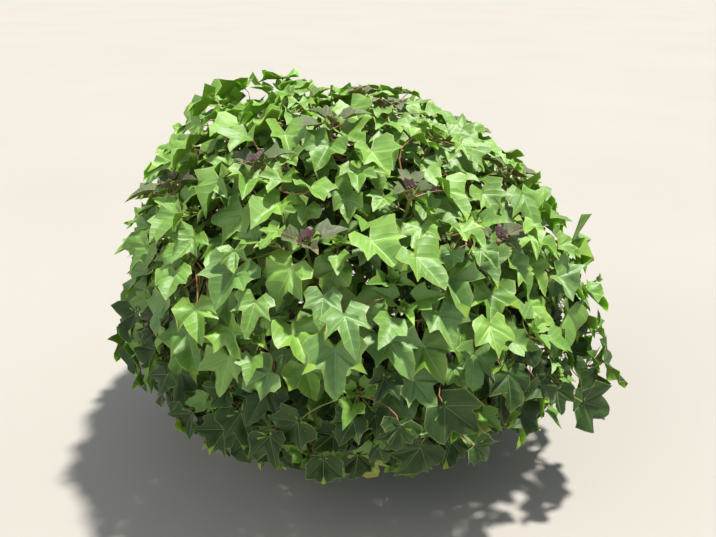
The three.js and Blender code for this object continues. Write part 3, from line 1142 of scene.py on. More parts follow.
GROWN_OUTLINE = Outline(
    rows=(
        (0, 1.00, 0.0),
        (6, 0.88, 0.3),
        (14, 0.78, 0.6),
        (23, 0.69, 0.8),
        (33, 0.57, 1.0),
        (42, 0.64, 0.5),
        (51, 0.77, 0.0),
        (61, 0.66, 0.5),
        (76, 0.59, 1.0),
        (93, 0.60, 0.65),
        (112, 0.53, 0.3),
        (142, 0.38, 0.55),
        (180, 0.07, 0.8),
    ),
    vein_rows=(0, 6),
    sinus_rows=(3, 4, 5, 7, 8),
    ring=0.58,
    rim_width=0.0017,
)

YOUNG_OUTLINE = Outline(
    rows=(
        (0, 1.00, 0.0),
        (16, 0.70, 0.4),
        (34, 0.48, 0.8),
        (55, 0.64, 0.5),
        (88, 0.46, 0.3),
        (130, 0.36, 0.5),
        (180, 0.08, 0.5),
    ),
    vein_rows=(),
    sinus_rows=(),
    ring=0.5,
    rim_width=0.0,
)


@dataclass
class Habit:
    """How one blade is shaped: all but its length are shares of that length, or plain factors."""

    length: float
    width: float = 1.0
    lobes: float = 1.0
    sway: float = 0.0
    fold: float = 0.3
    droop: float = 0.2
    hang: float = 0.2
    twist: float = 0.0
    ears: float = 0.0
    curl: float = 0.05
    wave: float = 0.02
    waves: float = 5.0
    phase: float = 0.0
    bulge: float = 0.04


class Face(Enum):
    """The finishes of a blade's faces, in the order of a leaf piece's materials."""

    UPPER = 0
    UNDERSIDE = 1
    VEIN = 2
    RIM = 3


class Blade:
    """The mesh of a lobed leaf blade: an upper and a lower sheet that share their rim.

    Columns of vertices run from the stalk's seat to the outline, across one ring and the inner
    edge of the rim. A main vein is a narrow strip between two columns of its own, and the strips
    meet in a small pale face on the seat. The lower sheet has only every second column of the
    ring, and both sheets are split along the same lines, so that they never cross.
    """

    SEAT_REACH = 0.02
    VEIN_WIDTHS = (0.0024, 0.0015, 0.0007)
    SIDE_VEIN = 0.8
    LIFT = 0.00045
    SAG = 0.0018
    SHARPEST = 0.6
    WAVY_FROM = 0.45
    TIP_FROM = 0.99
    CURL_ON_VEINS = 0.25
    SWAYS = 5
    LOBE_DEPTH = 0.5

    def __init__(self, outline: Outline) -> None:
        """Lay out the vertices and faces that every blade shares.

        Args:
            outline: Half of the blade's outline.
        """
        self.outline = outline
        self.angles, self.reaches, self.between, self.veins, self.sinus = outline.full()
        self.columns = len(self.angles)
        slots = []
        for column in range(self.columns):
            slots += [(column, -1), (column, 1)] if column in self.veins else [(column, 0)]
        self.slot_column = np.array([column for column, _ in slots])
        self.slot_side = np.array([side for _, side in slots])
        self.on_vein = np.flatnonzero(self.slot_side)
        self.seat_count = max(1, len(self.on_vein))
        self.ring_count = 2 if outline.rim_width else 1
        self.faces: list[list[int]] = []
        self.finishes: list[int] = []
        self._seat_faces()
        self._band_faces()
        if outline.rim_width:
            self._rim_faces()
        self._under_faces()

    @property
    def rim_start(self) -> int:
        """The number of the first vertex of the rim."""
        return self.seat_count + self.ring_count * len(self.slot_column)

    def _face(self, corners: list[int], finish: Face) -> None:
        """Add one face, counter-clockwise seen from outside."""
        self.faces.append([int(corner) for corner in corners])
        self.finishes.append(finish.value)

    def _fan(self, centre: int, run: list[int], finish: Face) -> None:
        """Close a run of a ring's vertices to one vertex, two steps to a face."""
        for start in range(0, len(run) - 1, 2):
            self._face([centre, *run[start:start + 3]], finish)

    def _seat_faces(self) -> None:
        """Lay out the upper sheet inside its ring: the seat, the veins and the fans between them."""
        count = len(self.slot_column)
        ring = [self.seat_count + slot for slot in range(count)]
        if not self.veins:
            self._fan(0, [*ring, ring[0]][::-1], Face.UPPER)
            return
        self._face(range(self.seat_count)[::-1], Face.VEIN)
        for vein in range(0, self.seat_count, 2):
            left, right = self.on_vein[vein], self.on_vein[vein + 1]
            self._face([vein, vein + 1, ring[right], ring[left]], Face.VEIN)
            following = (vein + 2) % self.seat_count
            steps = (self.on_vein[following] - right) % count
            run = [ring[(right + step) % count] for step in range(steps + 1)]
            half = len(run) // 2
            self._fan(vein + 1, run[half::-1], Face.UPPER)
            self._face([vein + 1, following, run[half]], Face.UPPER)
            self._fan(following, run[:half - 1:-1], Face.UPPER)

    def _band_faces(self) -> None:
        """Lay out the upper sheet outside its ring, each face split towards its odd column."""
        count = len(self.slot_column)
        for slot in range(count):
            following = (slot + 1) % count
            on_vein = self.slot_column[slot] == self.slot_column[following]
            inner = self.seat_count
            corners = [inner + slot, inner + following]
            if self.ring_count == 2:
                corners += [inner + count + following, inner + count + slot]
            else:
                corners += [self.rim_start + self.slot_column[end] for end in (following, slot)]
            if self.slot_column[slot] % 2:
                corners = corners[1:] + corners[:1]
            self._face(corners, Face.VEIN if on_vein else Face.UPPER)

    def _rim_faces(self) -> None:
        """Lay out the rim, two steps to a face."""
        edge = self.seat_count + len(self.slot_column)
        for column in range(0, self.columns, 2):
            last = (column + 2) % self.columns
            slots = np.flatnonzero(self.slot_column // 2 == column // 2).tolist()
            slots.append(np.flatnonzero(self.slot_column == last)[0])
            corners = [edge + slot for slot in slots]
            corners += [self.rim_start + end for end in (last, column + 1, column)]
            self._face(corners, Face.RIM)

    def _under_faces(self) -> None:
        """Lay out the lower sheet: kites out to the shared rim, and faces between them to the seat."""
        ring = self.rim_start + self.columns
        half = self.columns // 2
        for place in range(half):
            following = (place + 1) % half
            rim = [self.rim_start + (2 * place + step) % self.columns for step in (-1, 0, 1)]
            if 2 * place == half:
                self._face([ring + place, rim[0], rim[1]], Face.UNDERSIDE)
                self._face([ring + place, rim[1], rim[2]], Face.UNDERSIDE)
            else:
                self._face([ring + place, *rim], Face.UNDERSIDE)
            self._face([ring + place, rim[2], ring + following, ring + half], Face.UNDERSIDE)

    def sheet(self, habit: Habit, share: float) -> Point:
        """Return one ring of a blade's middle sheet, in shares of its length.

        Args:
            habit: The blade's shape.
            share: How far out the ring lies, from 0 at the seat to 1 at the rim.

        Returns:
            One point for each column, with the tip along +Y.
        """
        uneven = 1 + habit.sway * np.sin(self.angles * self.SWAYS + habit.phase)
        deeper = 1 - self.sinus * (habit.lobes - 1) * self.LOBE_DEPTH
        wider = 1 + (habit.width - 1) * np.abs(np.sin(self.angles))
        reach = self.reaches * np.where(self.reaches < self.TIP_FROM, uneven * deeper * wider, 1.0) * share
        along = reach * np.cos(self.angles)
        aside = reach * np.sin(self.angles)
        rise = habit.fold * np.abs(aside) - habit.hang * aside**2
        rise -= habit.droop * np.maximum(0, along) ** 2
        rise += habit.ears * np.maximum(0, -along)
        rise += habit.twist * aside * along
        margin = share**3 * np.minimum(1, self.reaches / self.WAVY_FROM)
        rise += habit.curl * margin * (self.CURL_ON_VEINS + (1 - self.CURL_ON_VEINS) * self.between)
        rise += habit.wave * margin * np.sin(habit.waves * self.angles + habit.phase)
        rise += habit.bulge * 4 * share * (1 - share) * self.between
        return np.column_stack((aside, along, rise))

    def points(self, habit: Habit) -> tuple[Point, Point]:
        """Return a blade's vertices in its own frame, and their places on it.

        Args:
            habit: The blade's shape.

        Returns:
            The vertices in metres, with the stalk's seat at the origin, the tip along +Y and the
            upper face up, and their places across and along the blade in shares of its length.
        """
        ring = self.sheet(habit, self.outline.ring)
        rim = self.sheet(habit, 1.0)
        slot = self.slot_column
        flat = np.zeros(self.columns)
        beside = np.column_stack((np.cos(self.angles), -np.sin(self.angles), flat))[slot]
        beside *= (np.where(slot == 0, 1.0, self.SIDE_VEIN) * self.slot_side / (2 * habit.length))[:, None]
        seat_width, ring_width, tip_width = self.VEIN_WIDTHS
        lift = np.array((0.0, 0.0, self.LIFT / habit.length))
        sag = np.array((0.0, 0.0, self.SAG / habit.length))
        if self.veins:
            spokes = np.column_stack((np.sin(self.angles), np.cos(self.angles), flat))[slot]
            seat = spokes * self.SEAT_REACH + beside * seat_width + lift
            rows = [seat[self.on_vein]]
        else:
            rows = [lift[None, :]]
        rows.append(ring[slot] + beside * ring_width + lift)
        if self.outline.rim_width:
            spans = np.linalg.norm(rim - ring, axis=1)
            inset = np.maximum(1 - self.outline.rim_width / (habit.length * spans), self.SHARPEST)
            edge = ring + (rim - ring) * inset[:, None]
            rows.append(edge[slot] + beside * tip_width + lift)
        under = ring - sag
        hollows = (np.roll(ring[:, 2], 1) + np.roll(ring[:, 2], -1)) / 2 - ring[:, 2]
        under[:, 2] -= np.maximum(0, np.maximum(np.roll(hollows, 1), np.roll(hollows, -1)))
        rows += [rim, under[::2], -sag[None, :]]
        vertices = np.concatenate(rows)
        return vertices * habit.length, vertices[:, :2]

    def coarse(self, habit: Habit) -> tuple[Point, list[list[int]]]:
        """Return the middle sheet alone, which stands for the blade where room is looked for.

        Args:
            habit: The blade's shape.

        Returns:
            Its vertices in metres, and its faces.
        """
        rings = (self.sheet(habit, self.outline.ring), self.sheet(habit, 1.0))
        points = np.concatenate((np.zeros((1, 3)), *rings))
        faces = []
        for column in range(self.columns):
            following = (column + 1) % self.columns
            outer = 1 + self.columns
            faces.append([0, 1 + following, 1 + column])
            faces.append([1 + column, 1 + following, outer + following, outer + column])
        return points * habit.length, faces


class Stage(Enum):
    """How old a leaf is, how it has aged, or, for PAINTED_SHADE, that shade is painted on it. Each is a
    piece with its own colours.
    """

    FRESH = "fresh"
    GREEN = "green"
    BLUISH = "bluish"
    # Painted shade: darker greens for the low and inner leaves, in place of the shade that falls there.
    PAINTED_SHADE = "deep"
    FADING = "fading"
    HALF_GROWN = "half_grown"
    BUDDING = "budding"


@dataclass
class Leaf:
    """A leaf in its place: the seat of its blade, its three directions and its stalk's root."""

    seat: Point
    side: Point
    along: Point
    face: Point
    root: Point
    habit: Habit
    stage: Stage = Stage.GREEN
    pink: bool = False

    STALK_BEHIND = 0.30
    STALK_UNDER = 0.26

    def world(self, vertices: Point) -> Point:
        """Carry vertices from the blade's own frame to the plant's."""
        return self.seat + vertices @ np.stack((self.side, self.along, self.face))

    def stalk(self) -> Curve:
        """Return the stalk's curve: it rises from its root and comes to the seat from behind.

        Returns:
            The curve.
        """
        reach = np.linalg.norm(self.seat - self.root)
        bend = self.seat - (self.along * self.STALK_BEHIND + self.face * self.STALK_UNDER) * reach
        return Curve(self.root, bend, self.seat - self.face * Blade.LIFT)


@dataclass(frozen=True)
class StalkSize:
    """A leaf stalk, a little swollen at both ends."""

    radius: float = 0.0019
    at_root: float = 1.1
    taper: float = 0.25
    swelling: float = 0.35
    swollen: float = 0.1
    thinnest: float = 0.35
    thin_length: float = 0.13
    sides: int = 5
    steps: int = 5

    def radius_at(self, share: float) -> float:
        """Return the radius at a share of the stalk's length."""
        end = max(0.0, 1 - min(share, 1 - share) / self.swollen)
        return self.radius * (self.at_root - self.taper * share) * (1 + self.swelling * end)

    def thinness(self, length: float) -> float:
        """Return how thick a stalk is, as a share of a grown one's, for its blade's length."""
        return min(1.0, self.thinnest + length / self.thin_length)


@dataclass(frozen=True)
class Rosette:
    """The young leaves that crowd round a shoot's tip, oldest and lowest first."""

    bronze: bool = True
    count: int = 9
    half_grown: int = 3
    largest: float = 0.084
    smallest: float = 0.016
    widest: float = 62.0
    narrowest: float = 14.0
    sunk: float = 0.022

    ASKEW = (0.3, 0.9, 0.31)
    VIGOUR = (0.75, 1.15)
    TILT_VARIES = 8
    SIZE_FALL = 1.7
    STALK_LEAST = 0.006
    STALK_SHARE = 0.75
    LEAN = (10, 35)
    LEAN_DOWN = 0.5
    OPEN_FOLD = 0.5
    CLOSED_FOLD = 0.9

    def leaves(self, shoot: Curve, random: np.random.Generator) -> Iterator[Leaf]:
        """Yield the young leaves of one shoot.

        Args:
            shoot: The shoot that ends in the rosette.
            random: The numbers that make each rosette a little different.

        Yields:
            Each leaf in its place, from the lowest up.
        """
        axis = shoot.tangent(1.0)
        spoke = unit(across(axis, np.array(self.ASKEW)))
        turn = float(random.uniform(0, 2 * math.pi))
        vigour = float(random.uniform(*self.VIGOUR))
        for index in range(self.count):
            age = 1 - index / (self.count - 1)
            way = turned(spoke, axis, turn + index * GOLDEN_ANGLE)
            spread = self.narrowest + (self.widest - self.narrowest) * age
            tilt = math.radians(spread + random.uniform(-self.TILT_VARIES, self.TILT_VARIES))
            length = vigour * (self.smallest + (self.largest - self.smallest) * age**self.SIZE_FALL)
            reach = self.STALK_LEAST + length * self.STALK_SHARE * age
            stem = unit(axis * math.cos(tilt) + way * math.sin(tilt))
            root = shoot.at(1.0) - axis * self.sunk * age
            seat = root + stem * reach
            lean = math.radians(random.uniform(*self.LEAN)) * age
            along = unit(stem * math.cos(lean) + unit(way - UP * self.LEAN_DOWN) * math.sin(lean))
            side = unit(across(along, axis + way * 0.05))
            face = across(side, along)
            folded = self.OPEN_FOLD + self.CLOSED_FOLD * (1 - age)
            habit = Habit(
                length=length,
                fold=folded * float(random.uniform(0.8, 1.1)),
                droop=0.35 * float(random.uniform(0.2, 1.0)),
                hang=0.1,
                twist=float(random.uniform(-0.15, 0.15)),
                wave=float(random.uniform(0.02, 0.06)),
                phase=float(random.uniform(0, 6)),
                bulge=0.05,
            )
            older = index < self.half_grown
            if self.bronze:
                stage = Stage.HALF_GROWN if older else Stage.BUDDING
            else:
                stage = Stage.GREEN if older else Stage.FRESH
            yield Leaf(seat, side, along, face, root, habit, stage, pink=self.bronze)


class Canopy:
    """Finds room for every leaf, clear of the wood and of the leaves before it."""

    STALK_CLEAR = 0.009
    STALK_ROOM = 0.0024
    STALK_SIDES = 3
    STALK_RINGS = 4
    STALK_UP_TO = 0.97
    SEAT_BEHIND = 0.3
    NEAR = 0.34
    SHORTEST = 0.035
    LONGEST = 0.22
    FLATTEST = 0.10
    FARTHEST_AHEAD = -0.35
    SQUARE_GAIN = 0.05
    BEYOND_BOX = 0.045
    LOWEST = 0.04
    LEVEL_FROM = 0.5
    TILT = 0.42
    TILT_ABOVE = 0.50
    UPTURN = 0.5
    UPTURN_ABOVE = 0.75
    UPTURN_VARIES = 0.4
    LEAST_SHIFT = 0.25
    SPIN = 0.6
    LOOSE_SPIN = 1.2
    SHRINK = 0.4

    def __init__(self, crown: Crown, blade: Blade, seed: int) -> None:
        """Start an empty canopy inside the crown.

        Args:
            crown: The dome to fill.
            blade: The blade of every grown leaf.
            seed: The start of its random numbers.
        """
        self.crown = crown
        self.blade = blade
        self.random = np.random.default_rng(seed)
        self.leaves: list[Leaf] = []
        self.trees: list[BVHTree] = []
        self.centres = np.empty((0, 3))
        self.nodes = np.empty((0, 3))
        self.low = np.array(CAD_BOX[0]) - self.BEYOND_BOX
        self.high = np.array(CAD_BOX[1]) + self.BEYOND_BOX
        self.low[2] = self.LOWEST

    def even(self, low: float, high: float) -> float:
        """Return an even random number between two bounds."""
        return float(self.random.uniform(low, high))

    def habit(self, length: float) -> Habit:
        """Return a grown blade's shape, each one a little different.

        Args:
            length: The blade's length in metres.

        Returns:
            The shape.
        """
        return Habit(
            length=length,
            width=self.even(0.95, 1.14),
            lobes=self.even(0.85, 1.45),
            sway=self.even(0.0, 0.07),
            fold=self.even(0.15, 0.75),
            droop=self.even(0.05, 0.42),
            hang=self.even(0.05, 0.55),
            twist=self.even(-0.35, 0.35),
            ears=self.even(0.0, 0.45),
            curl=self.even(0.0, 0.22),
            wave=self.even(0.07, 0.18),
            waves=float(self.random.integers(4, 8)),
            phase=self.even(0.0, 2 * math.pi),
            bulge=self.even(0.03, 0.09),
        )

    def take(self, points: Point, tree: BVHTree) -> None:
        """Take a body that leaves have to keep clear of, as its vertices and its tree."""
        self.trees.append(tree)
        self.centres = np.vstack((self.centres, points.mean(axis=0)))

    def keep_clear(self, points: Point, faces: list[list[int]]) -> None:
        """Take a body that leaves have to keep clear of, as its vertices and faces."""
        self.take(points, BVHTree.FromPolygons(points.tolist(), faces))

    def near(self, centre: Point) -> list[int]:
        """Return the bodies whose middles lie near a point."""
        gaps = np.linalg.norm(self.centres - centre, axis=1)
        return np.flatnonzero(gaps < self.NEAR).tolist()

    def pose(self, middle: Point, spin: float, length: float) -> Leaf | None:
        """Lay a leaf at a place on the dome, by the source's rule.

        Args:
            middle: Where its blade's middle lies.
            spin: How far its tip is turned from the way down the dome.
            length: The length of its blade from the seat to the tip.

        Returns:
            The leaf, or None where no node of a shoot can carry it.
        """
        away = self.crown.outward(middle)
        high = min(1.0, max(0.0, middle[2] / self.crown.top - self.LEVEL_FROM) / (1 - self.LEVEL_FROM))
        loose = self.TILT + self.TILT_ABOVE * high
        upturn = self.UPTURN + self.UPTURN_ABOVE * high + self.even(-self.UPTURN_VARIES, self.UPTURN_VARIES)
        face = unit(away + np.array((self.even(-loose, loose), self.even(-loose, loose), upturn)))
        level = unit(np.array((away[0], away[1], 0.0)))
        along = level - UP
        along = turned(unit(along - face * (along @ face)), face, spin)
        side = across(along, face)
        seat = middle - along * self.SEAT_BEHIND * length
        root = self.best_node(seat, face, along)
        if root is None:
            return None
        return Leaf(seat, side, along, face, root, self.habit(length))

    def best_node(self, seat: Point, face: Point, along: Point) -> Point | None:
        """Return the node that carries a blade best: near by, under it and behind it.

        Args:
            seat: Where the blade meets its stalk.
            face: The way its upper face looks.
            along: The way its tip points.

        Returns:
            The node, or None where none is in reach.
        """
        stalks = seat - self.nodes
        lengths = np.maximum(np.linalg.norm(stalks, axis=1), MILLIMETRE)
        rise = stalks @ face / lengths
        behind = stalks @ along / lengths
        cost = lengths - self.SQUARE_GAIN * rise - self.SQUARE_GAIN * behind
        fits = (lengths > self.SHORTEST) & (lengths < self.LONGEST)
        fits &= (rise > self.FLATTEST) & (behind > self.FARTHEST_AHEAD)
        if not fits.any():
            return None
        return self.nodes[np.argmin(np.where(fits, cost, np.inf))]

    def body(self, leaf: Leaf, points: Point, faces: list[list[int]]) -> BVHTree:
        """Return the tree that stands for a leaf, made from its blade's sheet and its stalk.

        Args:
            leaf: The leaf.
            points: Its sheet's vertices.
            faces: Its sheet's faces.

        Returns:
            The tree.
        """
        stalk = leaf.stalk()
        first = min(0.5, self.STALK_CLEAR / stalk.length)
        shares = np.linspace(first, self.STALK_UP_TO, self.STALK_RINGS)
        tube, sides, _ = tube_body(stalk, lambda share: self.STALK_ROOM, self.STALK_SIDES, shares)
        joined = [*faces, *([corner + len(points) for corner in side] for side in sides)]
        return BVHTree.FromPolygons(np.concatenate((points, tube)).tolist(), joined)

    def inside(self, points: Point, slack: float) -> bool:
        """Say whether a blade lies in the crown.

        Args:
            points: Its sheet's vertices.
            slack: How far past the skin it may reach, as a share.

        Returns:
            True where it lies in the crown and in the model's reach.
        """
        if (points < self.low).any() or (points > self.high).any():
            return False
        if self.crown.fill(points).max() > 1 + slack:
            return False
        return bool(self.crown.undercut(points).max() <= 1 + 2 * slack)

    def free(self, points: Point, tree: BVHTree) -> bool:
        """Say whether a leaf touches nothing that is already there."""
        return not any(tree.overlap(self.trees[index]) for index in self.near(points.mean(axis=0)))

    def settle(self, leaf: Leaf, points: Point, tree: BVHTree) -> None:
        """Keep a leaf, and take its node.

        Args:
            leaf: The leaf.
            points: Its sheet's vertices.
            tree: The tree that stands for it.
        """
        self.leaves.append(leaf)
        self.take(points, tree)
        taken = np.linalg.norm(self.nodes - leaf.root, axis=1) < MILLIMETRE / 10
        self.nodes = self.nodes[~taken]

    def grow(self, middle: Point, length: float, tries: int, shift: float, slack: float = 0.03) -> None:
        """Try a leaf at a place, then at looser places, spins and sizes until one has room.

        Args:
            middle: Where its blade's middle lies at first.
            length: The blade's length at first.
            tries: How many tries there are.
            shift: How far the place may move, in metres.
            slack: How far past the skin it may reach, as a share.
        """
        for attempt in range(tries):
            loose = attempt / tries
            moved = middle + self.random.uniform(-0.5, 0.5, 3) * shift * (self.LEAST_SHIFT + loose)
            spin = self.even(-self.SPIN, self.SPIN)
            spin += self.even(-self.LOOSE_SPIN, self.LOOSE_SPIN) * loose
            leaf = self.pose(moved, spin, length * (1 - self.SHRINK * loose))
            if leaf is None:
                continue
            sheet, faces = self.blade.coarse(leaf.habit)
            points = leaf.world(sheet)
            if not self.inside(points, slack):
                continue
            tree = self.body(leaf, points, faces)
            if self.free(points, tree):
                self.settle(leaf, points, tree)
                return


@dataclass
class LeafColours:
    """The four finishes of one kind of leaf."""

    upper: BladeFinish
    underside: PlainFinish
    vein: PlainFinish
    rim: PlainFinish

    def materials(self) -> list[bpy.types.Material]:
        """Write the finishes in the order that the faces count through."""
        return [finish.material() for finish in (self.upper, self.underside, self.vein, self.rim)]


def leaf_colours(stage: Stage) -> LeafColours:
    """Return the colours of a kind of leaf.

    Args:
        stage: The kind of leaf.

    Returns:
        The finishes of its two faces, its veins and its rim.
    """
    greens = {
        Stage.FRESH: (paint(127, 171, 54), paint(105, 151, 42)),
        Stage.GREEN: (paint(115, 157, 48), paint(91, 137, 36)),
        Stage.BLUISH: (paint(110, 152, 66), paint(88, 132, 48)),
        # Painted shade: these darker greens stand for the shade on the low and inner leaves.
        Stage.PAINTED_SHADE: (paint(52, 84, 22), paint(36, 62, 14)),
        Stage.FADING: (paint(166, 166, 70), paint(126, 146, 54)),
        Stage.HALF_GROWN: (paint(104, 122, 78), paint(92, 92, 70)),
        Stage.BUDDING: (paint(98, 68, 74), paint(66, 40, 48)),
    }
    light, dark = greens[stage]
    name = stage.value
    young = stage in (Stage.HALF_GROWN, Stage.BUDDING)
    under = (paint(144, 176, 66), paint(124, 160, 54))
    if young:
        under = (paint(140, 130, 92), paint(108, 88, 76))
    pale = paint(208, 226, 170)
    straw = paint(146, 110, 88) if young else paint(204, 204, 116)
    # Painted shade: the shaded leaves' veins and rims are half as pale, so they darken with the blade.
    paler = 0.5 if stage is Stage.PAINTED_SHADE else 1.0
    vein = (blend(light, pale, 0.45 * paler), blend(dark, pale, 0.35 * paler))
    rim = (blend(light, straw, 0.55 * paler), blend(dark, straw, 0.45 * paler))
    return LeafColours(
        BladeFinish(f"{name}_upper", light, dark, specular=0.4 if young or stage is Stage.PAINTED_SHADE else 1.0),
        PlainFinish(f"{name}_underside", *under, roughness=0.55, glow=0.6),
        PlainFinish(f"{name}_vein", *vein, roughness=0.5),
        PlainFinish(f"{name}_rim", *rim, roughness=0.5, glow=0.6),
    )


class Foliage:
    """All that stands for the solid masses: shoots, stalks, leaves and tip clusters."""

    LAYERS = (
        (Spread(count=500, lowest=-0.60, side=0.94, top=0.965), 0.126),
        (Spread(count=540, lowest=-0.62, side=0.87, top=0.91), 0.126),
        (Spread(count=480, lowest=-0.56, side=0.79, top=0.85), 0.122),
        (Spread(count=640, lowest=-0.60, side=0.92, top=0.945), 0.110),
        (Spread(count=440, lowest=-0.50, side=0.70, top=0.77), 0.122),
        (Spread(count=500, lowest=-0.58, side=0.84, top=0.88), 0.104),
        (Spread(count=400, lowest=-0.46, side=0.60, top=0.66), 0.122),
        (Spread(count=260, lowest=-0.70, side=0.80, top=0.84, highest=0.05), 0.118),
        (Spread(count=300, lowest=-0.40, side=0.48, top=0.56), 0.120),
    )
    SIDE_SHOOTS = 2
    SIDE_SHOOTS_FROM = 0.4
    SIDE_SHOOTS_APART = 0.3
    SIDE_SHOOT_REACH = (0.12, 0.20)
    SIDE_SHOOT_ASIDE = (1.3, 0.4)
    SIDE_SHOOT_PARTS = (0.55, 0.5)
    SIDE_SHOOT_UP = 0.5
    SIDE_SHOOT_INSIDE = 0.95
    SHOOT_RINGS = 9
    NODES_APART = 0.014
    FEWEST_NODES = 4
    NODES_BETWEEN = (0.2, 0.97)
    STEM_NODES = (0.35, 0.95, 8)
    SMALLER_ABOVE = 0.6
    SMALLER_ON_TOP = 0.16
    SIZE_VARIES = (0.82, 1.1)
    DEPTH_VARIES = (-0.02, 0.07)
    TRIES = 14
    AIR = (0.02, 0.06)
    AIR_RADIUS = 0.011
    TIP_SLACK = 0.05
    KEPT_BELOW = 0.03
    STRAY_LEAVES = 12
    STRAY_LENGTH = 0.15
    STRAY_SPREAD = 0.13
    STRAY_OUT = 0.03
    STRAY_SLACK = 0.14
    SHIFT = 0.08
    BRONZE_ABOVE = 0.74
    BRONZE_SHARE = 0.5
    BRONZE_LOW_SHARE = 0.06
    PINK_SHARE = 0.55
    FADING_BELOW = 0.35
    FADING_SHARE = 0.02
    # Where shade is painted: leaves inside the crown or low down, and more of them the lower they sit.
    INSIDE = 0.8
    LOW = 0.24
    INSIDE_PAINTED_SHADE_SHARE = 0.75
    FRESH_FROM = 0.45
    HIGH = 0.75
    FRESH_SHARE = 0.25
    FRESH_HIGH_SHARE = 0.4
    GREEN_UP_TO = 0.65
    PAINTED_SHADE_BELOW = 0.52
    PAINTED_SHADE_FADE = 0.15

    def __init__(self, skeleton: Skeleton) -> None:
        """Start from the plant's limbs.

        Args:
            skeleton: The curves of the limbs.
        """
        self.skeleton = skeleton
        self.blade = Blade(GROWN_OUTLINE)
        self.young_blade = Blade(YOUNG_OUTLINE)
        self.canopy = Canopy(skeleton.crown, self.blade, seed=11)
        self.random = np.random.default_rng(5)
        self.young: list[Leaf] = []
        self.strays = skeleton.strays()
        self.shoots = [(curve, SHOOT) for curve in skeleton.shoots()]
        self.shoots += [(curve, SIDE_SHOOT) for curve in self.side_shoots()]
        self.shoots += [(curve, SIDE_SHOOT) for curve in self.strays]

    def side_shoots(self) -> list[Curve]:
        """Branch each shoot into finer ones that turn up to the light.

        Returns:
            The curves of those that stay well inside the crown.
        """
        made = []
        crown = self.skeleton.crown
        first_aside, last_aside = self.SIDE_SHOOT_ASIDE
        first_part, last_part = self.SIDE_SHOOT_PARTS
        for number, (shoot, _) in enumerate(self.shoots):
            for index in range(self.SIDE_SHOOTS):
                share = self.SIDE_SHOOTS_FROM + self.SIDE_SHOOTS_APART * index
                start = shoot.at(share)
                tangent = shoot.tangent(share)
                spoke = unit(across(tangent, UP + 0.01))
                spoke = turned(spoke, tangent, (number * 2 + index) * GOLDEN_ANGLE)
                reach = float(self.random.uniform(*self.SIDE_SHOOT_REACH))
                middle = start + unit(tangent + spoke * first_aside) * reach * first_part
                way = unit(tangent + spoke * last_aside + UP * self.SIDE_SHOOT_UP)
                tip = middle + way * reach * last_part
                if max(crown.fill(tip), crown.undercut(tip)) < self.SIDE_SHOOT_INSIDE:
                    made.append(Curve(start, middle, tip))
        return made

    def node_places(self) -> Point:
        """Return the places along the shoots where stalks can grow.

        Returns:
            The places, one a row.
        """
        places = []
        for curve, _ in self.shoots:
            count = max(self.FEWEST_NODES, int(curve.length / self.NODES_APART))
            places.append(curve.at(np.linspace(*self.NODES_BETWEEN, count)))
        for mass in MASSES:
            places.append(self.skeleton.mass_stem(mass).at(np.linspace(*self.STEM_NODES)))
        return np.concatenate(places)

    def build_wood(self) -> bpy.types.Object:
        """Make the green stems and shoots, in one piece.

        Returns:
            The piece.
        """
        stock = Stock()
        shares = np.linspace(0, 1, self.SHOOT_RINGS)
        tubes = [(self.skeleton.mass_stem(mass), MASS_STEM) for mass in MASSES] + self.shoots
        for curve, size in tubes:
            points, faces, places = tube_body(curve, size.radius, size.sides, shares)
            stock.add(points, faces, [0] * len(faces), places)
            self.canopy.keep_clear(points, faces)
        finish = PlainFinish("green_shoot_skin", paint(126, 146, 76), paint(100, 120, 58), patches=30.0)
        piece = stock.piece("green_shoots", [finish.material()], smooth=50)
        return piece

    def crown_tips(self) -> None:
        """Set a rosette of young leaves on every shoot's tip, and keep the air above each bronze one free.
        """
        for shoot, size in self.shoots:
            tip = shoot.at(1.0)
            high = tip[2] > self.BRONZE_ABOVE and size is SHOOT
            bronze = self.random.random() < (self.BRONZE_SHARE if high else self.BRONZE_LOW_SHARE)
            rosette = Rosette(bronze=bool(bronze))
            for leaf in rosette.leaves(shoot, self.random):
                sheet, faces = self.young_blade.coarse(leaf.habit)
                points = leaf.world(sheet)
                tree = self.canopy.body(leaf, points, faces)
                has_room = self.canopy.inside(points, self.TIP_SLACK) and self.canopy.free(points, tree)
                if leaf.habit.length < self.KEPT_BELOW or has_room:
                    self.young.append(leaf)
                    self.canopy.take(points, tree)
            if bronze:
                way = shoot.tangent(1.0)
                above = Curve(tip + way * self.AIR[0], tip + way * self.AIR[1])
                points, faces, _ = tube_body(above, lambda share: self.AIR_RADIUS, 3, np.array((0.0, 1.0)))
                self.canopy.keep_clear(points, faces)

    def place_leaves(self) -> None:
        """Find room for every leaf, from the skin of the crown inwards."""
        self.canopy.nodes = self.node_places()
        for stray in self.strays:
            tip = stray.at(1.0)
            for _ in range(self.STRAY_LEAVES):
                loose = self.random.uniform(-self.STRAY_SPREAD, self.STRAY_SPREAD, 3)
                place = tip + loose + self.skeleton.crown.outward(tip) * self.STRAY_OUT
                self.canopy.grow(place, self.STRAY_LENGTH, self.TRIES, self.SHIFT, self.STRAY_SLACK)
        log.info("leaves on the straying shoots: %d", len(self.canopy.leaves))
        crown = self.skeleton.crown
        for layer, length in self.LAYERS:
            before = len(self.canopy.leaves)
            for middle in crown.spread(layer):
                above = max(0.0, middle[2] / crown.top - self.SMALLER_ABOVE)
                size = length * (1 - self.SMALLER_ON_TOP * (above / (1 - self.SMALLER_ABOVE)))
                size *= float(self.random.uniform(*self.SIZE_VARIES))
                deeper = float(self.random.uniform(*self.DEPTH_VARIES))
                place = middle + (crown.centre - middle) * deeper
                self.canopy.grow(place, size, self.TRIES, self.SHIFT)
            log.info("leaves with room in a layer of %d: %d", layer.count, len(self.canopy.leaves) - before)
        for leaf in self.canopy.leaves:
            leaf.stage = self.stage(leaf)
            leaf.pink = bool(self.random.random() < self.PINK_SHARE)

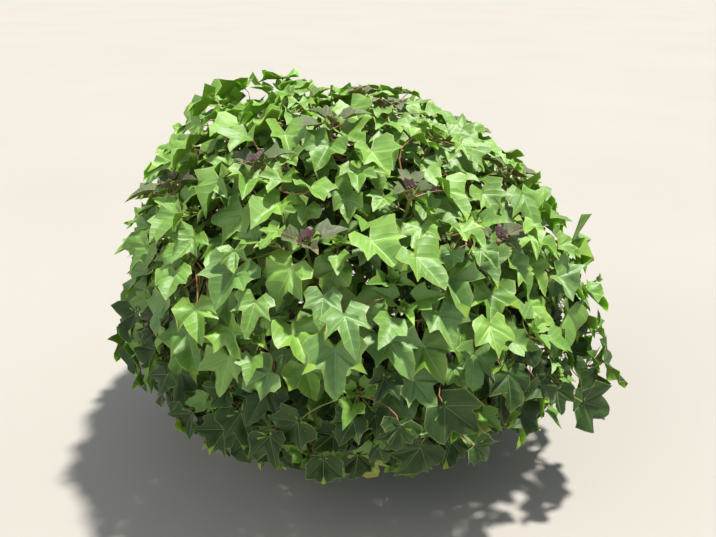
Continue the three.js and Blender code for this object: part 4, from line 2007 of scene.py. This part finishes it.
    def stage(self, leaf: Leaf) -> Stage:
        """Deal a leaf its colours by its height and depth in the crown, painting shade on the low and inner
        ones.

        Args:
            leaf: The leaf.

        Returns:
            The kind of leaf that it is.
        """
        depth = float(self.skeleton.crown.fill(leaf.seat))
        height = leaf.seat[2] / self.skeleton.crown.top
        draw = self.random.random()
        if height < self.FADING_BELOW and draw < self.FADING_SHARE:
            return Stage.FADING
        # Painted shade: inner and low leaves, and more leaves the lower they sit, get the darker greens.
        if depth < self.INSIDE or height < self.LOW:
            return Stage.PAINTED_SHADE if draw < self.INSIDE_PAINTED_SHADE_SHARE else Stage.GREEN
        if draw < (self.PAINTED_SHADE_BELOW - height) / self.PAINTED_SHADE_FADE:
            return Stage.PAINTED_SHADE
        if height > self.HIGH:
            return Stage.FRESH if draw < self.FRESH_HIGH_SHARE else Stage.GREEN
        if height > self.FRESH_FROM and draw < self.FRESH_SHARE:
            return Stage.FRESH
        return Stage.GREEN if draw < self.GREEN_UP_TO else Stage.BLUISH

    def build_leaves(self) -> list[bpy.types.Object]:
        """Join the blades into one piece for each stage.

        Returns:
            The pieces.
        """
        stocks = {stage: Stock() for stage in Stage}
        for leaves, blade in ((self.canopy.leaves, self.blade), (self.young, self.young_blade)):
            for leaf in leaves:
                vertices, places = blade.points(leaf.habit)
                stocks[leaf.stage].add(leaf.world(vertices), blade.faces, blade.finishes, places)
        pieces = []
        for stage, stock in stocks.items():
            if stock.count:
                piece = stock.piece(f"leaves_{stage.value}", leaf_colours(stage).materials(), smooth=60)
                pieces.append(piece)
        return pieces

    def build_stalks(self) -> list[bpy.types.Object]:
        """Join the stalks into a pinkish and a green piece.

        Returns:
            The two pieces.
        """
        size = StalkSize()
        shares = np.linspace(0, 1, size.steps + 1)
        stocks = {True: Stock(), False: Stock()}
        for leaf in self.canopy.leaves + self.young:
            thin = size.thinness(leaf.habit.length)
            points, faces, places = tube_body(
                leaf.stalk(), lambda share: size.radius_at(share) * thin, size.sides, shares
            )
            stocks[leaf.pink].add(points, faces, [0] * len(faces), places)
        finishes = {
            True: PlainFinish("pink_stalk", paint(186, 124, 104), paint(150, 104, 74), patches=12.0),
            False: PlainFinish("green_stalk", paint(166, 176, 90), paint(142, 154, 70), patches=12.0),
        }
        pieces = []
        for pink, stock in stocks.items():
            finish = finishes[pink]
            piece = stock.piece(f"{finish.name}s", [finish.material()], smooth=60)
            pieces.append(piece)
        return pieces


class Studio:
    """The pale floor, the soft lights and the camera at the photograph's angle."""

    CAMERA_PLACE = (-0.054, -2.40, 1.70)
    PITCH_DOWN = 24.31
    YAW_RIGHT = 1.31
    IMAGE_WIDTH = 716
    FOCAL_PIXELS = 716
    SENSOR = 36.0
    FLOOR_RADIUS = 60.0
    FLOOR = PlainFinish(
        "pale_floor", paint(172, 168, 160), paint(169, 165, 157), roughness=0.9, patches=0.5
    )
    AIR = paint(212, 219, 230)
    AIR_STRENGTH = 0.62
    SUN_DISTANCE = 5.0

    def camera(self) -> None:
        """Set up the camera that the photograph was matched with."""
        data = bpy.data.cameras.new("camera")
        data.sensor_width = self.SENSOR
        data.lens = self.SENSOR * self.FOCAL_PIXELS / self.IMAGE_WIDTH
        data.clip_end = 200.0
        camera = bpy.data.objects.new("camera", data)
        camera.location = self.CAMERA_PLACE
        camera.rotation_euler = (math.radians(90 - self.PITCH_DOWN), 0.0, -math.radians(self.YAW_RIGHT))
        bpy.context.scene.collection.objects.link(camera)
        bpy.context.scene.camera = camera

    def floor(self) -> None:
        """Lay a plain pale floor."""
        bpy.ops.object.select_all(action="DESELECT")
        bpy.ops.mesh.primitive_circle_add(vertices=96, radius=self.FLOOR_RADIUS, fill_type="NGON")
        floor = bpy.context.object
        floor.name = "floor"
        floor.data.materials.append(self.FLOOR.material())
        floor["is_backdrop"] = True

    def sun(
        self,
        name: str,
        way: tuple[float, float, float],
        power: float,
        softness: float,
        colour: tuple[float, float, float],
    ) -> None:
        """Hang one even, soft light that shines from a direction.

        Args:
            name: The lamp's name.
            way: The direction that the light comes from.
            power: How strong it is.
            softness: How wide it looks, in degrees.
            colour: Its colour.
        """
        data = bpy.data.lights.new(name, "SUN")
        data.energy = power
        data.angle = math.radians(softness)
        data.color = colour
        lamp = bpy.data.objects.new(name, data)
        lamp.rotation_euler = Vector(way).to_track_quat("Z", "Y").to_euler()
        lamp.location = Vector(way).normalized() * self.SUN_DISTANCE
        bpy.context.scene.collection.objects.link(lamp)

    def build(self) -> None:
        """Set up the whole studio."""
        self.camera()
        self.floor()
        self.sun("key", (0.32, 0.08, 0.94), 5.8, 4.0, (1.0, 0.97, 0.93))
        self.sun("fill", (-0.75, -0.3, 0.6), 0.55, 40.0, (1.0, 1.0, 0.96))
        world = bpy.data.worlds.new("studio")
        world.use_nodes = True
        backdrop = world.node_tree.nodes["Background"]
        backdrop.inputs["Color"].default_value = self.AIR
        backdrop.inputs["Strength"].default_value = self.AIR_STRENGTH
        bpy.context.scene.world = world
        bpy.context.scene.view_settings.view_transform = "Standard"


class Shrub:
    """The whole plant."""

    BARK = BarkFinish("stem_bark", paint(138, 124, 98), paint(150, 148, 116), paint(186, 178, 150))
    YOUNG_BARK = BarkFinish(
        "young_bark_skin", paint(122, 124, 84), paint(134, 142, 92), paint(176, 176, 136)
    )
    STEM_SCARS = (9, 0.012, 0.004)
    BOUGH_SCARS = (14, 0.008, 0.0022)
    BRANCH_SCARS = (14, 0.006, 0.0014)

    def __init__(self) -> None:
        """Work out the plant's curves."""
        self.skeleton = Skeleton(CROWN)

    @staticmethod
    def stem_radius(share: float, angle: float) -> float:
        """Return the main stem's radius, which swells to ribs at the ground.

        Args:
            share: A share of the stem's length.
            angle: The bearing round it in radians.

        Returns:
            The radius in metres.
        """
        flare = (1 - share) ** FLARE_POWER
        rib = 1 + FLARE_DEPTH * flare * math.cos(FLARE_RIBS * angle)
        return (STEM.radius(share) + (FLARE_RADIUS - STEM.foot_radius) * flare) * rib

    @staticmethod
    def even_limb(node: str, curve: Curve, size: Tube, scars: tuple[int, float, float]) -> Limb:
        """Return a bough or a branch, which tapers evenly from its foot to its tip."""
        return Limb(f"{node}_bark", node, curve, size, lambda share, _: size.radius(share), *scars)

    def limbs(self) -> Iterator[tuple[Limb, bool]]:
        """Yield the main stem, the boughs and the branches, and whether each is old wood.

        Yields:
            The limb, and True where it is old wood.
        """
        stem = self.skeleton.stem
        yield Limb("main_stem_bark", "main_stem", stem, STEM, self.stem_radius, *self.STEM_SCARS), True
        for name, curve in self.skeleton.boughs.items():
            yield self.even_limb(name, curve, BOUGH, self.BOUGH_SCARS), True
        for mass in MASSES:
            curve = self.skeleton.branch(mass)
            yield self.even_limb(f"{mass.name}_branch", curve, BRANCH, self.BRANCH_SCARS), False

    def build(self) -> None:
        """Make every piece of the plant."""
        old = self.BARK.material()
        young = self.YOUNG_BARK.material()
        for limb, is_old in self.limbs():
            limb.build(old if is_old else young, "bark" if is_old else "young_bark")
        foliage = Foliage(self.skeleton)
        foliage.build_wood()
        foliage.crown_tips()
        foliage.place_leaves()
        pieces = foliage.build_leaves()
        foliage.build_stalks()
        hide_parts(*(f"{mass.name}_leaves" for mass in MASSES))


def main() -> None:
    """Build the studio and the plant."""
    Studio().build()
    Shrub().build()
    boxes = {"cad": CAD_BOX, "visual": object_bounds()}
    {name: [list(corner) for corner in box] for name, box in boxes.items()}


if __name__ == "__main__":
    main()
